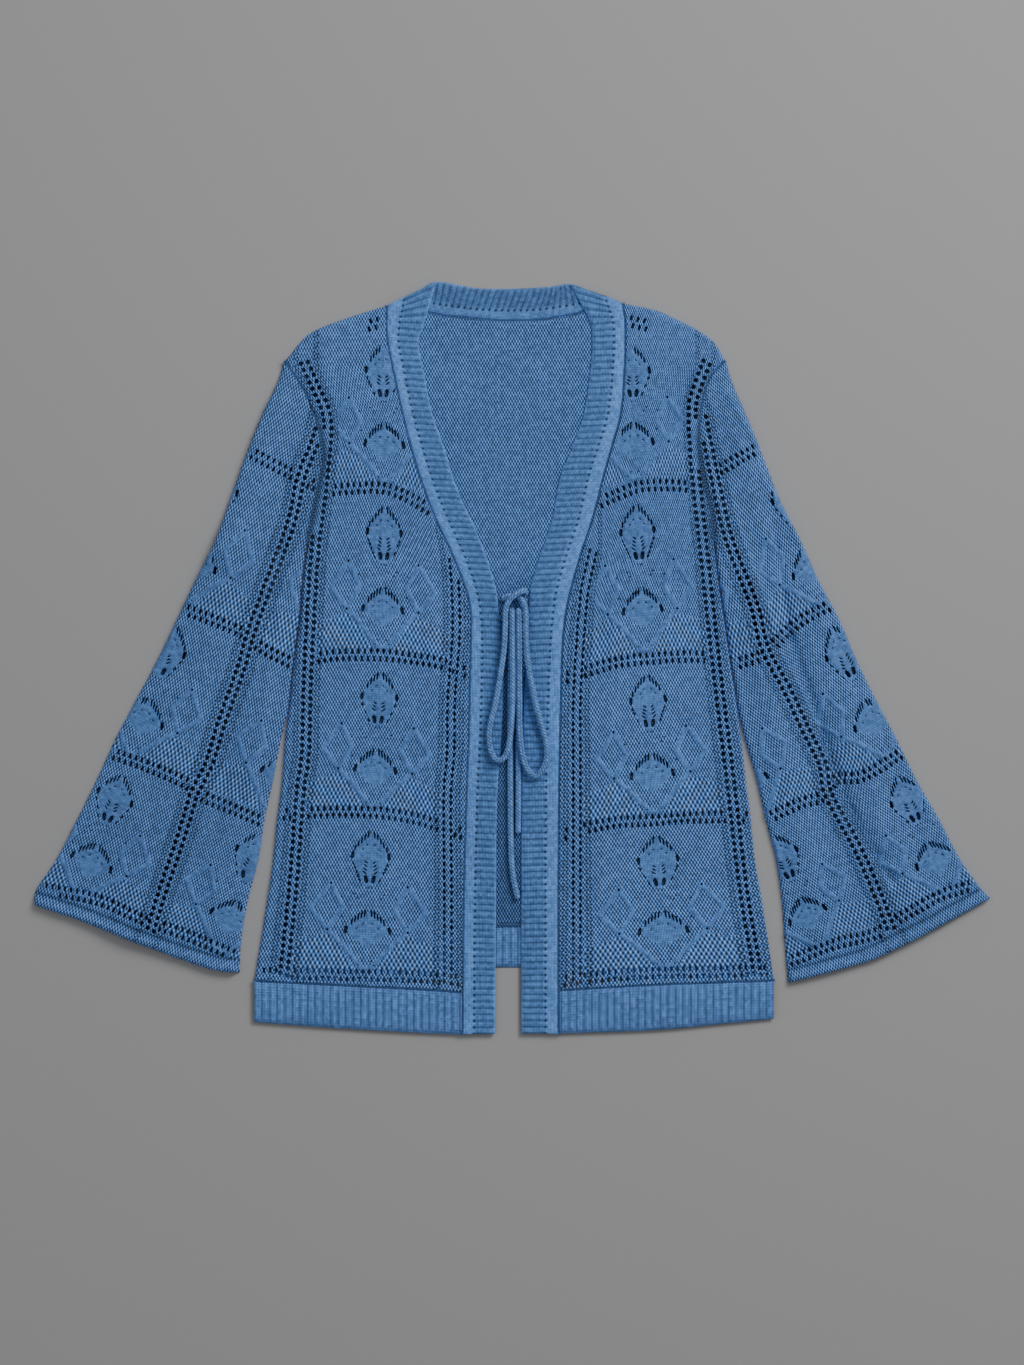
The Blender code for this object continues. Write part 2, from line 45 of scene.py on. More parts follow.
# What a user would change, a dictionary for each piece
yarn = {
    "stitchWidth": 2.6,
    "stitchHeight": 4.8,
    "cloth": 2.0,
    "frontColour": (0.104, 0.262, 0.655),
    "backColour": (0.092, 0.246, 0.620),
    "bandColour": (0.088, 0.230, 0.565),
    "hemColour": (0.118, 0.298, 0.740),
    "sleeveColour": (0.098, 0.246, 0.610),
    "tieColour": (0.118, 0.275, 0.640),
    "gapShade": 0.03,
    "tipShade": 1.74,
    "heather": 0.45,
    "drift": 0.28,
    "mottle": 0.6,
    "grooveShade": 0.6,
    "coveredShade": 0.72,
    "creaseShade": 0.8,
    "gapShadow": 0.4,
    "neckShade": 0.22,
    "bump": 0.0011,
    "roughness": 0.88,
    "sheen": 0.12,
}
lace = {
    "cell": 1.75,
    "roughCell": 9.0,
    "eyeletPitch": 5.5,
    "eyelet": (5.2, 2.4),
    "eyeletRows": 6.6,
    "ladderPitch": 6.1,
    "ladderGap": 3.15,
    "outerLadderHole": (4.3, 3.9),
    "innerLadderHole": (4.5, 2.5),
    "raisedLine": 1.7,
    "raisedHalf": 2.1,
    "squareWidth": 127.0,
    "squareHeight": 140.0,
    "bridge": 0.35,
    "dotPlaces": (-10.4, -7.6, 7.6, 10.4),
    "dotPitch": 3.1,
    "dotWidth": 0.85,
}
# Steps along curves, gaps at seams, the lowest underside and folded edge, the ramp up to full ribs,
# and the distance between the rows of a triangular lattice for each unit along them
coarseStep = 4.0
fineStep = 3.0
seamHalf = 0.15
armholeGap = 0.35
besideGap = 0.4
lowest = 0.2
foldedEdge = 0.45
ribRamp = 1.6
rowShare = 0.866
back = {"top": 2.4, "cell": 3.5, "inset": 3.0, "sidesFrom": -270}
front = {
    "under": 3.0,
    "foldLip": 3.0,
    "holeMargin": 1.2,
    "swell": 0.22,
    "ripple": 0.12,
    "seamDip": 0.8,
    "seamDipWidth": 2.2,
}
band = {"under": 3.0, "pitch": 5.6, "rise": 0.95, "top": 5.0, "steps": 8, "start": 0.36}
hem = {"pitch": 6.7, "rise": 1.15, "top": 1.4, "steps": 10, "start": 0.0}
sleeve = {
    "lowerCell": 4.5,
    "holeMargin": 1.4,
    "armholeFrom": 100,
    "besideFrom": -50,
    "besideTo": 96,
    "slant": 0.326,
    "cuffRoll": 7.0,
    "cuffRise": 3.4,
    "cuffPlain": 12,
    "creaseAt": 11.3,
    "creaseWidth": 1.3,
    "creaseDepth": 1.7,
}
neck = {"under": 0.2, "rise": 0.8, "start": 0.32, "top": 2.2}
tie = {"width": 5.2, "sides": 18, "step": 1.3}
chain = {
    "pitch": 2.6,
    "length": 2.7,
    "width": 1.15,
    "gap": 0.65,
    "lean": 0.45,
    "onFronts": 4.55,
    "onBack": 2.35,
    "backHemReach": 60,
}
stage = {"floor": (0.36, 0.36, 0.365), "keyPower": 62.0, "fillPower": 6.0, "skyLight": 0.34}
photo = {"height": 1365, "mmPerPixel": 0.88, "middleDown": 25.0, "cameraHeight": 3.4}

# Body side and armhole from the hem up: y, x on the right, x on the left
bodySide = (
    (-284, -227, 230.5),
    (-248, -221, 225.5),
    (-213, -215.5, 220),
    (-178, -210.5, 214),
    (-143, -207, 210.5),
    (-108, -202.5, 206),
    (-72, -200, 202),
    (-37, -195.5, 197.5),
    (-2, -192, 192),
    (33, -187, 187),
    (82, -183, 180),
    (130, -174, 176),
    (153, -169, 170),
    (178, -165, 165.5),
    (204, -170, 164.5),
    (231, -180.5, 168.5),
    (249, -191.5, 176),
    (261, -200, 187.5),
)
shoulder = {
    "right": ((-200, 261), (-185, 279.5), (-174, 288), (-151.5, 297), (-124, 306), (-110.5, 310)),
    "left": ((187.5, 261), (183, 270.5), (176, 279.5), (164.5, 288), (147, 297), (126.5, 306), (98, 312)),
}
# Front band from the hem to the shoulder: y, and x of its seam, of the rib's start and of its free edge
bandLines = {
    "right": (
        (-331.5, -44, -35, -15),
        (-213, -43, -34, -14),
        (-122, -40.5, -31.5, -13),
        (-66, -38.5, -29.5, -9),
        (8, -37, -27.5, -7.5),
        (42, -37, -27.5, -11.5),
        (64, -42.5, -31, -14.5),
        (92, -53.5, -42, -23),
        (123, -68, -56, -36),
        (152, -79, -68, -49),
        (187, -90, -79, -60),
        (218, -97.5, -87.5, -70.5),
        (253, -105, -95, -77.5),
        (278, -110, -100.5, -82),
        (295, -111, -101, -77.5),
    ),
    "left": (
        (-331, 41.5, 29, 8),
        (-213, 41.5, 29.5, 8),
        (-125, 42, 30, 8),
        (-66, 43, 30.5, 9),
        (8, 45, 31, 13),
        (42, 48.5, 32, 14.5),
        (64, 53.5, 36, 16.5),
        (92, 61.5, 44, 25),
        (124, 72, 55.5, 35.5),
        (159, 81, 64, 42),
        (187, 89, 73, 53),
        (218, 97, 81, 63.5),
        (260, 100, 87, 69.5),
        (284, 100.5, 88.5, 70.5),
        (298, 100, 88, 68),
    ),
}
bandTop = {
    "right": ((-110.5, 309.5), (-100, 315), (-66, 331)),
    "left": ((98, 311.5), (86, 317), (51, 329)),
}
# Ribs: x, y of the top, y of the bottom
frontHem = {
    "right": ((-227, -284, -321), (-158, -287.5, -326), (-90, -291, -330), (-44.3, -294, -332)),
    "left": ((230.5, -284, -318), (180, -285.5, -323), (126, -287.5, -328), (41.8, -292.5, -331)),
}
backHem = (
    (-225, -278, -315),
    (-165, -266, -304),
    (-98, -250, -288),
    (-40, -239, -276),
    (0, -236, -273),
    (45, -239, -276),
    (112, -250, -287.5),
    (175, -266, -303),
    (228, -277, -313),
)
# Back neck rib: x and y of its top, x and y of its seam with the back
neckRib = (
    (-82, 323.5, -83, 310),
    (-66, 331, -71, 303),
    (-31, 325.5, -40, 299),
    (0, 325, -10, 296.5),
    (30, 326.5, 20, 297),
    (51, 329, 57, 302.5),
    (68, 323.5, 70, 310),
)
# Sleeve edges: y, x on the right, x on the left
sleeveOuter = (
    (262, -201, 188.5),
    (244, -206, 193.5),
    (209, -222.5, 208.5),
    (174, -236, 222.5),
    (138, -249, 236.5),
    (103, -262, 254.5),
    (68, -279, 270),
    (33, -295.5, 288.5),
    (-2, -312.5, 303.5),
    (-37, -331, 320.5),
    (-72, -349.5, 339),
    (-108, -366, 356.5),
    (-143, -383.5, 376.5),
    (-178, -401.5, 395),
    (-204, -419, 413.5),
)
sleeveInner = (
    (-72, -203.5, 205),
    (-108, -210.5, 215.5),
    (-143, -218, 223.5),
    (-178, -223.5, 232.5),
    (-213, -232.5, 237.5),
    (-248, -238.5, 240),
)
cuff = {
    "right": ((-421, -218), (-382, -231), (-338, -248.5), (-291, -266), (-264, -274.5), (-240, -277.5)),
    "left": ((421.5, -211.5), (387, -231), (354, -248.5), (317, -266), (283, -276), (243, -286.5)),
}

# Lace layout. Rows of eyelets and ladders of holes run through these points: x, y
frontRows = {
    "right": (
        ((-113, 295.5), (-111, 296)),
        ((-170.5, 145.5), (-142.5, 148.5), (-114.5, 149), (-94, 142), (-70.5, 129)),
        ((-189, -5.5), (-170.5, -0.5), (-151.5, 2), (-113.5, 2), (-85.5, -1.5), (-62.5, -5.5), (-38.5, -14.5)),
        ((-203.5, -138.5), (-160, -136), (-117, -137), (-85.5, -142), (-62.5, -149), (-42, -156)),
        ((-223.5, -278.5), (-178, -279), (-129.5, -280), (-90, -281), (-60, -283), (-45, -284.5)),
    ),
    "left": (
        ((103, 296), (105, 295.5)),
        ((70.5, 132.5), (82, 138.5), (111, 150), (134.5, 151.5), (156.5, 150), (172.5, 146.5)),
        ((45, -19), (75.5, -9), (97, -3.5), (118, -1.5), (143.5, 0.5), (165.5, 0.5), (189, -2)),
        ((44, -157), (65, -150), (95, -145), (127.5, -143), (156.5, -141), (181, -140.5), (206, -141)),
        ((43, -285.5), (53.5, -284), (95, -279.5), (138, -277.5), (178.5, -277), (216.5, -276), (227, -276.5)),
    ),
}
frontLadders = {
    "right": (
        ((-181.5, 256.5), (-172.5, 237), (-164.5, 218), (-162, 200), (-164, 174), (-167, 145.5),
         (-172.5, 103.5), (-175.5, 67.5), (-178.5, 15.5), (-180.5, -28.5), (-182, -85), (-186.5, -118.5),
         (-192.5, -197.5), (-199, -260), (-201.5, -282)),
        ((-57, 112), (-52, 86), (-49.5, 50.5), (-49.5, 15.5), (-53.5, -37.5), (-54, -83), (-57, -122),
         (-56.5, -197.5), (-56.5, -289)),
    ),
    "left": (
        ((170, 256.5), (162, 235.5), (158.5, 218.5), (160, 178), (163, 145.5), (166.5, 113), (180, -10),
         (192, -108), (203.5, -204.5), (214, -266), (215.5, -282)),
        ((70.5, 89.5), (64, 59.5), (60, 15.5), (57, -37.5), (57, -90), (57, -187), (57, -287.5)),
    ),
}
sleeveRows = {
    "right": (
        ((-241, 184.5), (-230.5, 180), (-213, 171), (-195.5, 162.5), (-176, 152.5)),
        ((-301, 46), (-288, 42), (-261.5, 32), (-237.5, 21.5), (-221, 9), (-193.5, -5.5)),
        ((-362.5, -81.5), (-351, -85), (-317, -97), (-285, -111.5), (-270, -123.5), (-248, -132.5), (-220, -145)),
        ((-415.5, -203), (-363.5, -213.5), (-326.5, -230), (-285, -245), (-241, -263.5)),
    ),
    "left": (
        ((176, 161.5), (194.5, 172), (213, 182.5), (222, 188)),
        ((192, -9), (202.5, -4), (221, 3), (250, 29.5), (279, 45.5), (290.5, 50.5)),
        ((213, -145), (227, -140.5), (251.5, -129), (274.5, -122), (285, -107), (308, -104.5), (344, -84),
         (354, -79.5)),
        ((243, -268), (285, -252), (319.5, -243.5), (344, -227.5), (376, -210), (407.5, -200)),
    ),
}
sleeveLadders = {
    "right": (((-164.5, 226.5), (-170, 202), (-173.5, 189), (-185.5, 159), (-194.5, 118.5), (-210.5, 75),
               (-226, 33), (-231.5, 16.5), (-239.5, -12), (-256, -58.5), (-266.5, -93), (-280, -120),
               (-283.5, -132.5), (-295, -169.5), (-305.5, -199.5), (-317, -236.5)),),
    "left": (((168, 209), (175, 174), (185, 126.5), (194.5, 93), (213, 45.5), (222, 8.5), (242, -28.5),
              (258, -63), (273.5, -94.5), (278, -120), (303.5, -167), (320.5, -205.5), (332, -235.5)),),
}
# Corners of the lace squares: for each eyelet row, x and y on its columns from the outer side inwards
frontSquares = {
    "right": (
        ((-176, 288), (-53, 288)),
        ((-172.5, 145.5), (-51, 136)),
        ((-178.5, -2), (-51, -9)),
        ((-187.5, -137.5), (-58, -148.5)),
        ((-201.5, -278.5), (-56.5, -283)),
    ),
    "left": (
        ((167, 288), (44, 288)),
        ((168, 148.5), (47.5, 136)),
        ((178.5, -0.5), (56.5, -11)),
        ((194.5, -138.5), (57, -151)),
        ((215.5, -276), (56.5, -284)),
    ),
}
sleeveSquares = {
    "right": (
        ((-303.5, 218.5), (-185, 160.5), (-66, 102.5)),
        ((-350, 71), (-230.5, 15.5), (-111, -40)),
        ((-398.5, -64.5), (-277, -116.5), (-155, -167)),
        ((-444.5, -191.5), (-320.5, -238), (-199, -291)),
    ),
    "left": (
        ((284, 211), (177, 150), (70.5, 88.5)),
        ((325.5, 74.5), (222, 8.5), (119, -57.5)),
        ((388, -64.5), (278, -120), (170, -169.5)),
        ((444.5, -189.5), (329, -233), (218, -283)),
    ),
}

# How far the middle of each row of eyelets bows up between the corners of its squares
rowBows = {"right": (2.0, 8.4, 7.6, 6.0, 0.8), "left": (0.5, 9.0, 6.0, 2.5, 2.0)}
flatRows = (0.0, 0.0, 0.0, 0.0)

# Lace motif, charted in millimetres from its axis and from the top of its square:
# first across, first down, last across, last down, bend, count, first length, last length, width, lean
motifSlits = (
    (15.2, 36.6, 15.2, 36.6, 1.0, 1, 7.2, 7.2, 3.2, 4),
    (17.4, 101.0, 17.4, 101.0, 1.0, 1, 7.6, 7.6, 3.2, 12),
    (3.1, 57.0, 3.1, 57.0, 1.0, 1, 7.6, 7.6, 3.8, -12),
    (2.6, 18.6, 13.3, 30.6, 1.25, 5, 7.4, 5.6, 1.6, 7),
    (2.6, 86.2, 15.4, 96.6, 1.3, 6, 7.6, 6.2, 1.65, 8),
    (3.3, 42.6, 4.6, 51.4, 1.0, 4, 3.6, 4.6, 1.25, -50),
    (14.2, 44.0, 8.2, 58.0, 1.0, 5, 3.6, 3.8, 1.4, -24),
    (3.2, 27.5, 6.6, 31.5, 1.0, 2, 2.6, 2.6, 0.9, 46),
    (3.6, 95.5, 8.6, 99.5, 1.0, 2, 2.6, 2.6, 0.9, 50),
    (3.6, 127.5, 6.0, 131.0, 1.0, 2, 1.4, 1.4, 1.1, 0),
)
# Single small holes: across, down, length, width
motifDots = (
    (31.5, 61.0, 2.6, 2.1),
    (32.0, 101.0, 2.4, 2.1),
    (1.6, 64.5, 1.5, 1.1),
    (12.0, 70.0, 1.5, 1.3),
    (9.5, 73.5, 1.5, 1.3),
    (22.0, 73.0, 1.6, 1.3),
    (21.0, 90.0, 1.6, 1.3),
    (0.0, 136.4, 3.8, 3.3),
)
diamondLine = ((31.5, 61), (46.5, 82), (32, 101), (21, 82), (31.5, 61))
veeLine = ((-32, 101), (-20, 113), (-3.5, 133.5), (3.5, 133.5), (20, 113), (32, 101))
leafOutline = ((0, 17), (8, 23), (15, 35), (12, 46), (6, 60), (0, 64), (-6, 60), (-12, 46), (-15, 35), (-8, 23))
archOutline = ((0, 86), (12, 92), (17.5, 101), (9, 110), (0, 116), (-9, 110), (-17.5, 101), (-12, 92))
mossCorner = ((30, 104), (58, 112), (58, 136), (8, 136), (20, 116))

# Soft folds: x, y of both ends, rise (a trough where negative), half width
frontFolds = {
    "right": (
        (-160, 280, -178, 215, 1.6, 10),
        (-140, 240, -130, 60, 0.9, 18),
        (-185, 60, -192, -110, 1.0, 9),
        (-75, 60, -60, -200, 0.8, 12),
        (-190, -150, -205, -260, 1.1, 11),
        (-110, -190, -150, -270, 0.8, 16),
    ),
    "left": (
        (160, 270, 158, 200, 1.6, 9),
        (120, 250, 110, 70, 0.9, 16),
        (181, 60, 190, -90, 1.2, 8),
        (90, 30, 80, -210, 0.8, 14),
        (198, -130, 214, -260, 1.1, 10),
        (150, -60, 165, -130, -0.8, 14),
    ),
}
sleeveFolds = {
    "right": (
        (-205, 225, -250, 90, 3.0, 22),
        (-250, 90, -330, -225, 3.4, 45),
        (-205, 40, -262, -235, 1.6, 20),
        (-185, 190, -200, 100, 1.6, 12),
        (-196, 150, -214, 20, -1.6, 7),
        (-228, 200, -270, 100, 1.0, 8),
        (-240, -30, -262, -150, -1.0, 9),
        (-300, -60, -340, -150, 0.9, 10),
        (-214, -20, -232, -130, 1.0, 8),
    ),
    "left": (
        (190, 225, 225, 110, 3.0, 20),
        (250, 60, 350, -215, 3.4, 36),
        (205, 60, 272, -240, 2.6, 24),
        (203, 95, 232, 20, 1.6, 10),
        (231, 116, 245, 16, -2.4, 6),
        (245, 16, 297, -136, -2.8, 8),
        (297, -136, 334, -197, -2.2, 9),
        (189, 235, 213, 190, 1.5, 6),
        (221, 159, 253, 103, 1.6, 7),
        (262, 60, 300, -40, 1.2, 9),
    ),
}

# Route of each tie, given as x, y, z of its centre line from the band's edge to its free end
tieRoutes = {
    "right": (
        (-9.2, 50.0, 5.7), (-6.0, 52.8, 5.9), (0.0, 54.4, 6.3), (6.0, 53.0, 7.6), (10.6, 47.6, 10.4),
        (12.0, 39.0, 11.8), (12.2, 18.0, 11.8), (14.5, -8.0, 11.6), (21.5, -43.0, 11.0), (30.0, -75.0, 10.0),
        (29.5, -93.0, 9.7), (20.5, -104.5, 9.8), (11.5, -94.0, 10.8), (7.2, -72.0, 11.8), (6.4, -38.0, 11.8),
        (6.2, 8.0, 11.8), (6.0, 33.0, 11.8), (5.9, 38.6, 11.2), (5.8, 41.2, 8.7), (5.7, 38.6, 6.2),
        (5.6, 33.0, 5.6), (5.4, 0.0, 5.6), (5.6, -60.0, 5.6), (5.6, -110.0, 5.6), (5.4, -155.5, 5.6),
    ),
    "left": (
        (11.6, 54.6, 5.7), (11.8, 57.8, 8.4), (9.6, 58.6, 12.0), (4.0, 55.6, 14.4), (-2.0, 50.6, 13.8),
        (-5.6, 42.0, 12.0), (-6.0, 28.0, 11.8), (-7.6, 3.0, 11.6), (-14.0, -37.0, 10.6), (-20.0, -64.0, 9.9),
        (-18.5, -82.0, 9.7), (-12.5, -90.5, 9.8), (-5.5, -86.0, 10.8), (-1.6, -70.0, 11.8), (0.4, -38.0, 11.8),
        (0.4, 8.0, 11.8), (0.2, 33.0, 11.8), (0.1, 38.6, 11.2), (0.0, 41.2, 8.7), (-0.1, 38.6, 6.2),
        (-0.2, 33.0, 5.6), (-1.0, 0.0, 5.6), (-1.6, -60.0, 5.6), (-1.4, -120.0, 5.6), (-1.0, -162.0, 5.6),
        (0.6, -190.0, 5.6), (5.2, -213.0, 5.6),
    ),
}


# Lines and distances on the table, in millimetres, as arrays of points

def softLine(points, step):
    # points every step along a soft curve through the given ones
    places = np.array(points, float)
    ends = np.vstack([2 * places[0] - places[1], places, 2 * places[-1] - places[-2]])
    line = []
    for a, b, c, d in zip(ends, ends[1:], ends[2:], ends[3:]):
        count = max(1, int(round(np.linalg.norm(c - b) / step)))
        t = (np.arange(count) / count)[:, None]
        line.append(0.5 * (2 * b + (c - a) * t + (2 * a - 5 * b + 4 * c - d) * t * t
                           + (3 * b - a - 3 * c + d) * t ** 3))
    return np.vstack(line + [places[-1:]])


def lengthsOf(line):
    return np.concatenate([[0.0], np.cumsum(np.linalg.norm(np.diff(line, axis=0), axis=1))])


def spaced(line, count):
    lengths = lengthsOf(line)
    wanted = np.linspace(0, lengths[-1], count)
    return np.column_stack([np.interp(wanted, lengths, line[:, i]) for i in range(line.shape[1])])


def pitched(line, pitch):
    return spaced(line, max(2, int(round(lengthsOf(line)[-1] / pitch)) + 1))


def moved(line, distance):
    # to the line's left where distance is positive
    along = np.gradient(line, axis=0)
    along = along / np.linalg.norm(along, axis=1)[:, None]
    return line + np.column_stack([-along[:, 1], along[:, 0]]) * distance


def distanceTo(points, line, reach=1e9):
    # shortest distance from each point to the line, where it is nearer than reach
    nearest = np.full(len(points), float(reach))
    for a, b in zip(line[:-1], line[1:]):
        low = np.minimum(a, b) - reach
        high = np.maximum(a, b) + reach
        near = np.flatnonzero(((points > low) & (points < high)).all(axis=1))
        if len(near) == 0:
            continue
        along = b - a
        t = np.clip(((points[near] - a) @ along) / max(along @ along, 1e-9), 0, 1)
        away = np.linalg.norm(points[near] - (a + t[:, None] * along), axis=1)
        nearest[near] = np.minimum(nearest[near], away)
    return nearest


def insideOf(points, outline):
    result = np.zeros(len(points), bool)
    previous = outline[-1]
    for corner in outline:
        if corner[1] != previous[1]:
            between = (corner[1] > points[:, 1]) != (previous[1] > points[:, 1])
            crossing = corner[0] + (points[:, 1] - corner[1]) * (previous[0] - corner[0]) / (previous[1] - corner[1])
            result ^= between & (points[:, 0] < crossing)
        previous = corner
    return result


def turnedLeft(loop):
    # the loop with its area on its left side
    x, y = loop[:, 0], loop[:, 1]
    area = np.sum(x * np.roll(y, -1) - np.roll(x, -1) * y)
    return loop if area > 0 else loop[::-1]


def sideOf(side):
    return (1, -1) if side == "right" else (2, 1)


# Shared edges of the garment

def bodyEdge(side):
    column, _ = sideOf(side)
    return softLine([(row[column], row[0]) for row in bodySide], coarseStep)


def bandSeam(side):
    points = [(row[1], row[0]) for row in bandLines[side]] + [bandTop[side][0]]
    return softLine(points, coarseStep)


def hemSeam(side):
    return softLine([row[:2] for row in frontHem[side]], coarseStep)


def neckSeam(step):
    return softLine([row[2:4] for row in neckRib], step)


def frontOutline(side):
    _, outwards = sideOf(side)
    hemLine = moved(hemSeam(side), -outwards * seamHalf)
    seamLine = moved(bandSeam(side), -outwards * seamHalf)
    seamLine = seamLine[seamLine[:, 1] > hemLine[-1, 1] + 2]
    edge = bodyEdge(side)
    edge = edge[edge[:, 1] > hemLine[0, 1] + 2]
    top = softLine(shoulder[side], coarseStep)[1:-1]
    return turnedLeft(np.vstack([edge, top, seamLine[::-1], hemLine[::-1]]))


def sleeveLines(side):
    # outer fold, cuff, free inner fold, the stretch beside the body, and the armhole
    column, outwards = sideOf(side)
    edge = bodyEdge(side)
    y = edge[:, 1]
    armhole = moved(edge, -outwards * armholeGap)[y > sleeve["armholeFrom"]]
    beside = moved(edge, -outwards * besideGap)[(y > sleeve["besideFrom"]) & (y < sleeve["besideTo"])]
    free = softLine([(row[column], row[0]) for row in sleeveInner] + [cuff[side][-1]], coarseStep)
    outer = softLine([(row[column], row[0]) for row in sleeveOuter] + [cuff[side][0]], coarseStep)
    return outer, softLine(cuff[side], coarseStep), free, beside, armhole


def sleeveOutline(side):
    outer, end, free, beside, armhole = sleeveLines(side)
    return turnedLeft(np.vstack([outer[1:], end[1:-1], free[::-1], beside, armhole]))


def insetOutline(outline, distance):
    return moved(np.vstack([outline[-1:], outline, outline[:1]]), distance)[1:-1]


# Knitting grid: where a place lies across and down the stitches, in millimetres

def turn(points, angle):
    c, s = math.cos(angle), math.sin(angle)
    return np.column_stack([points[:, 0] * c - points[:, 1] * s, points[:, 0] * s + points[:, 1] * c])


def between(values, marks):
    # how many marks lie before each value, with the share of the way to the next one
    way = np.sign(marks[1] - marks[0])
    result = (values - marks[0]) / (marks[1] - marks[0])
    for i in range(1, len(marks) - 1):
        beyond = (values - marks[i]) * way > 0
        result = np.where(beyond, i + (values - marks[i]) / (marks[i + 1] - marks[i]), result)
    return result


def knitPlaces(points, columns, rows, angle):
    # columns are ladders that run down the cloth and rows are eyelet rows across it, once both are turned
    local = turn(points, angle)
    columns = [turn(softLine(line, coarseStep), angle) for line in columns]
    rows = [turn(softLine(line, coarseStep), angle) for line in rows]
    xs = [np.interp(-local[:, 1], -line[:, 1], line[:, 0]) for line in columns]
    rows = [line[np.argsort(line[:, 0])] for line in rows]
    downs = [-np.interp(local[:, 0], line[:, 0], line[:, 1]) for line in rows]
    downs = [downs[0] - lace["squareHeight"]] + downs + [downs[-1] + lace["squareHeight"]]
    across = between(local[:, 0], xs) * lace["squareWidth"]
    return np.column_stack([across, (between(-local[:, 1], downs) - 1) * lace["squareHeight"]])


def squarePlace(corners, across, down):
    # the two last values are how far the middle of the rows above and below bows up
    p = 0.5 + across / lace["squareWidth"]
    q = down / lace["squareHeight"]
    top = corners[0] * (1 - p) + corners[1] * p
    low = corners[2] * (1 - p) + corners[3] * p
    bow = (corners[4] * (1 - q) + corners[5] * q) * max(0.0, 1 - (2 * p - 1) ** 2)
    return top * (1 - q) + low * q + np.array([0.0, bow])


def squaresOf(table, bows):
    nodes = np.array(table, float)
    return [(nodes[r, c], nodes[r, c + 1], nodes[r + 1, c], nodes[r + 1, c + 1], bows[r], bows[r + 1])
            for r in range(len(nodes) - 1) for c in range(nodes.shape[1] - 1)]


# Holes of the lace

def slit(centre, along, length, width, sides=8):
    # a rounded hole with its length in the given direction
    along = along / np.linalg.norm(along)
    across = np.array([-along[1], along[0]])
    turns = 2 * math.pi * (np.arange(sides) + 0.5) / sides
    a = np.sign(np.cos(turns)) * np.abs(np.cos(turns)) ** 0.75
    b = np.sign(np.sin(turns)) * np.abs(np.sin(turns)) ** 0.75
    return centre + a[:, None] * along * length / 2 + b[:, None] * across * width / 2


def motifHoles(corners):
    holes = []
    for x0, y0, x1, y1, bend, count, length0, length1, width, lean in motifSlits:
        for i in range(count):
            t = i / max(count - 1, 1)
            x = x0 + (x1 - x0) * t
            y = y0 + (y1 - y0) * t ** bend
            length = length0 + (length1 - length0) * t
            for sign in (-1, 1):
                centre = squarePlace(corners, sign * x, y)
                lean0 = math.tan(math.radians(lean))
                ahead = squarePlace(corners, sign * (x + lean0), y + 1)
                holes.append(slit(centre, ahead - centre, length, width, 8 if length > 3 else 6))
    for x, y, length, width in motifDots:
        for sign in ((-1, 1) if x else (1,)):
            centre = squarePlace(corners, sign * x, y)
            holes.append(slit(centre, squarePlace(corners, sign * x, y + 1) - centre, length, width, 6))
    return holes


def eyeletRow(line):
    # two staggered lines of eyelets along a row, each eyelet set across it
    holes = []
    for index, offset in enumerate((-0.5, 0.5)):
        path = moved(line, lace["eyeletRows"] * offset)
        places = pitched(path, lace["eyeletPitch"])
        if index:
            places = (places[1:] + places[:-1]) / 2
        along = np.gradient(places, axis=0)
        holes += [slit(p, np.array([-a[1], a[0]]), *lace["eyelet"]) for p, a in zip(places, along)]
    return holes


def ladderHoles(line, size):
    holes = []
    places = pitched(line, lace["ladderPitch"])
    for a, b in zip(places, places[1:]):
        along = b - a
        across = np.array([-along[1], along[0]]) / np.linalg.norm(along)
        for sign in (-1, 1):
            holes.append(slit((a + b) / 2 + across * lace["ladderGap"] * sign + along * 0.12 * sign, along, *size))
    return holes


def apart(holes, outline, margin):
    # keeps each hole that is clear of the outline and of the holes kept before it
    centres = np.array([h.mean(axis=0) for h in holes])
    radii = np.array([np.linalg.norm(h - c, axis=1).max() for h, c in zip(holes, centres)])
    closed = np.vstack([outline, outline[:1]])
    clear = insideOf(centres, outline) & (distanceTo(centres, closed, 12.0) > radii * 0.8 + margin)
    kept = []
    for i in np.flatnonzero(clear):
        near = [j for j in kept if abs(centres[i] - centres[j]).max() < radii[i] + radii[j] + 0.4]
        if all(distanceTo(holes[i], np.vstack([holes[j], holes[j][:1]])).min() > lace["bridge"]
               and distanceTo(holes[j], np.vstack([holes[i], holes[i][:1]])).min() > lace["bridge"]
               and not insideOf(centres[i:i + 1], holes[j]).any() for j in near):
            kept.append(i)
    return [holes[i] for i in kept]


# Meshes

def addPiece(name, points, faces, material, uv=None, smooth=True):
    mesh = bpy.data.meshes.new(name)
    mesh.from_pydata((np.asarray(points) * mm).tolist(), [], faces)
    mesh.update()
    if uv is not None:
        layer = mesh.uv_layers.new(name="knit")
        corners = np.empty(len(mesh.loops), np.int32)
        mesh.loops.foreach_get("vertex_index", corners)
        layer.data.foreach_set("uv", (np.asarray(uv)[corners] * 0.01).astype(np.float32).ravel())
    mesh.polygons.foreach_set("use_smooth", [smooth] * len(mesh.polygons))
    mesh.materials.append(material)
    piece = bpy.data.objects.new(name, mesh)
    bpy.context.scene.collection.objects.link(piece)
    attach(piece, "root")
    return piece


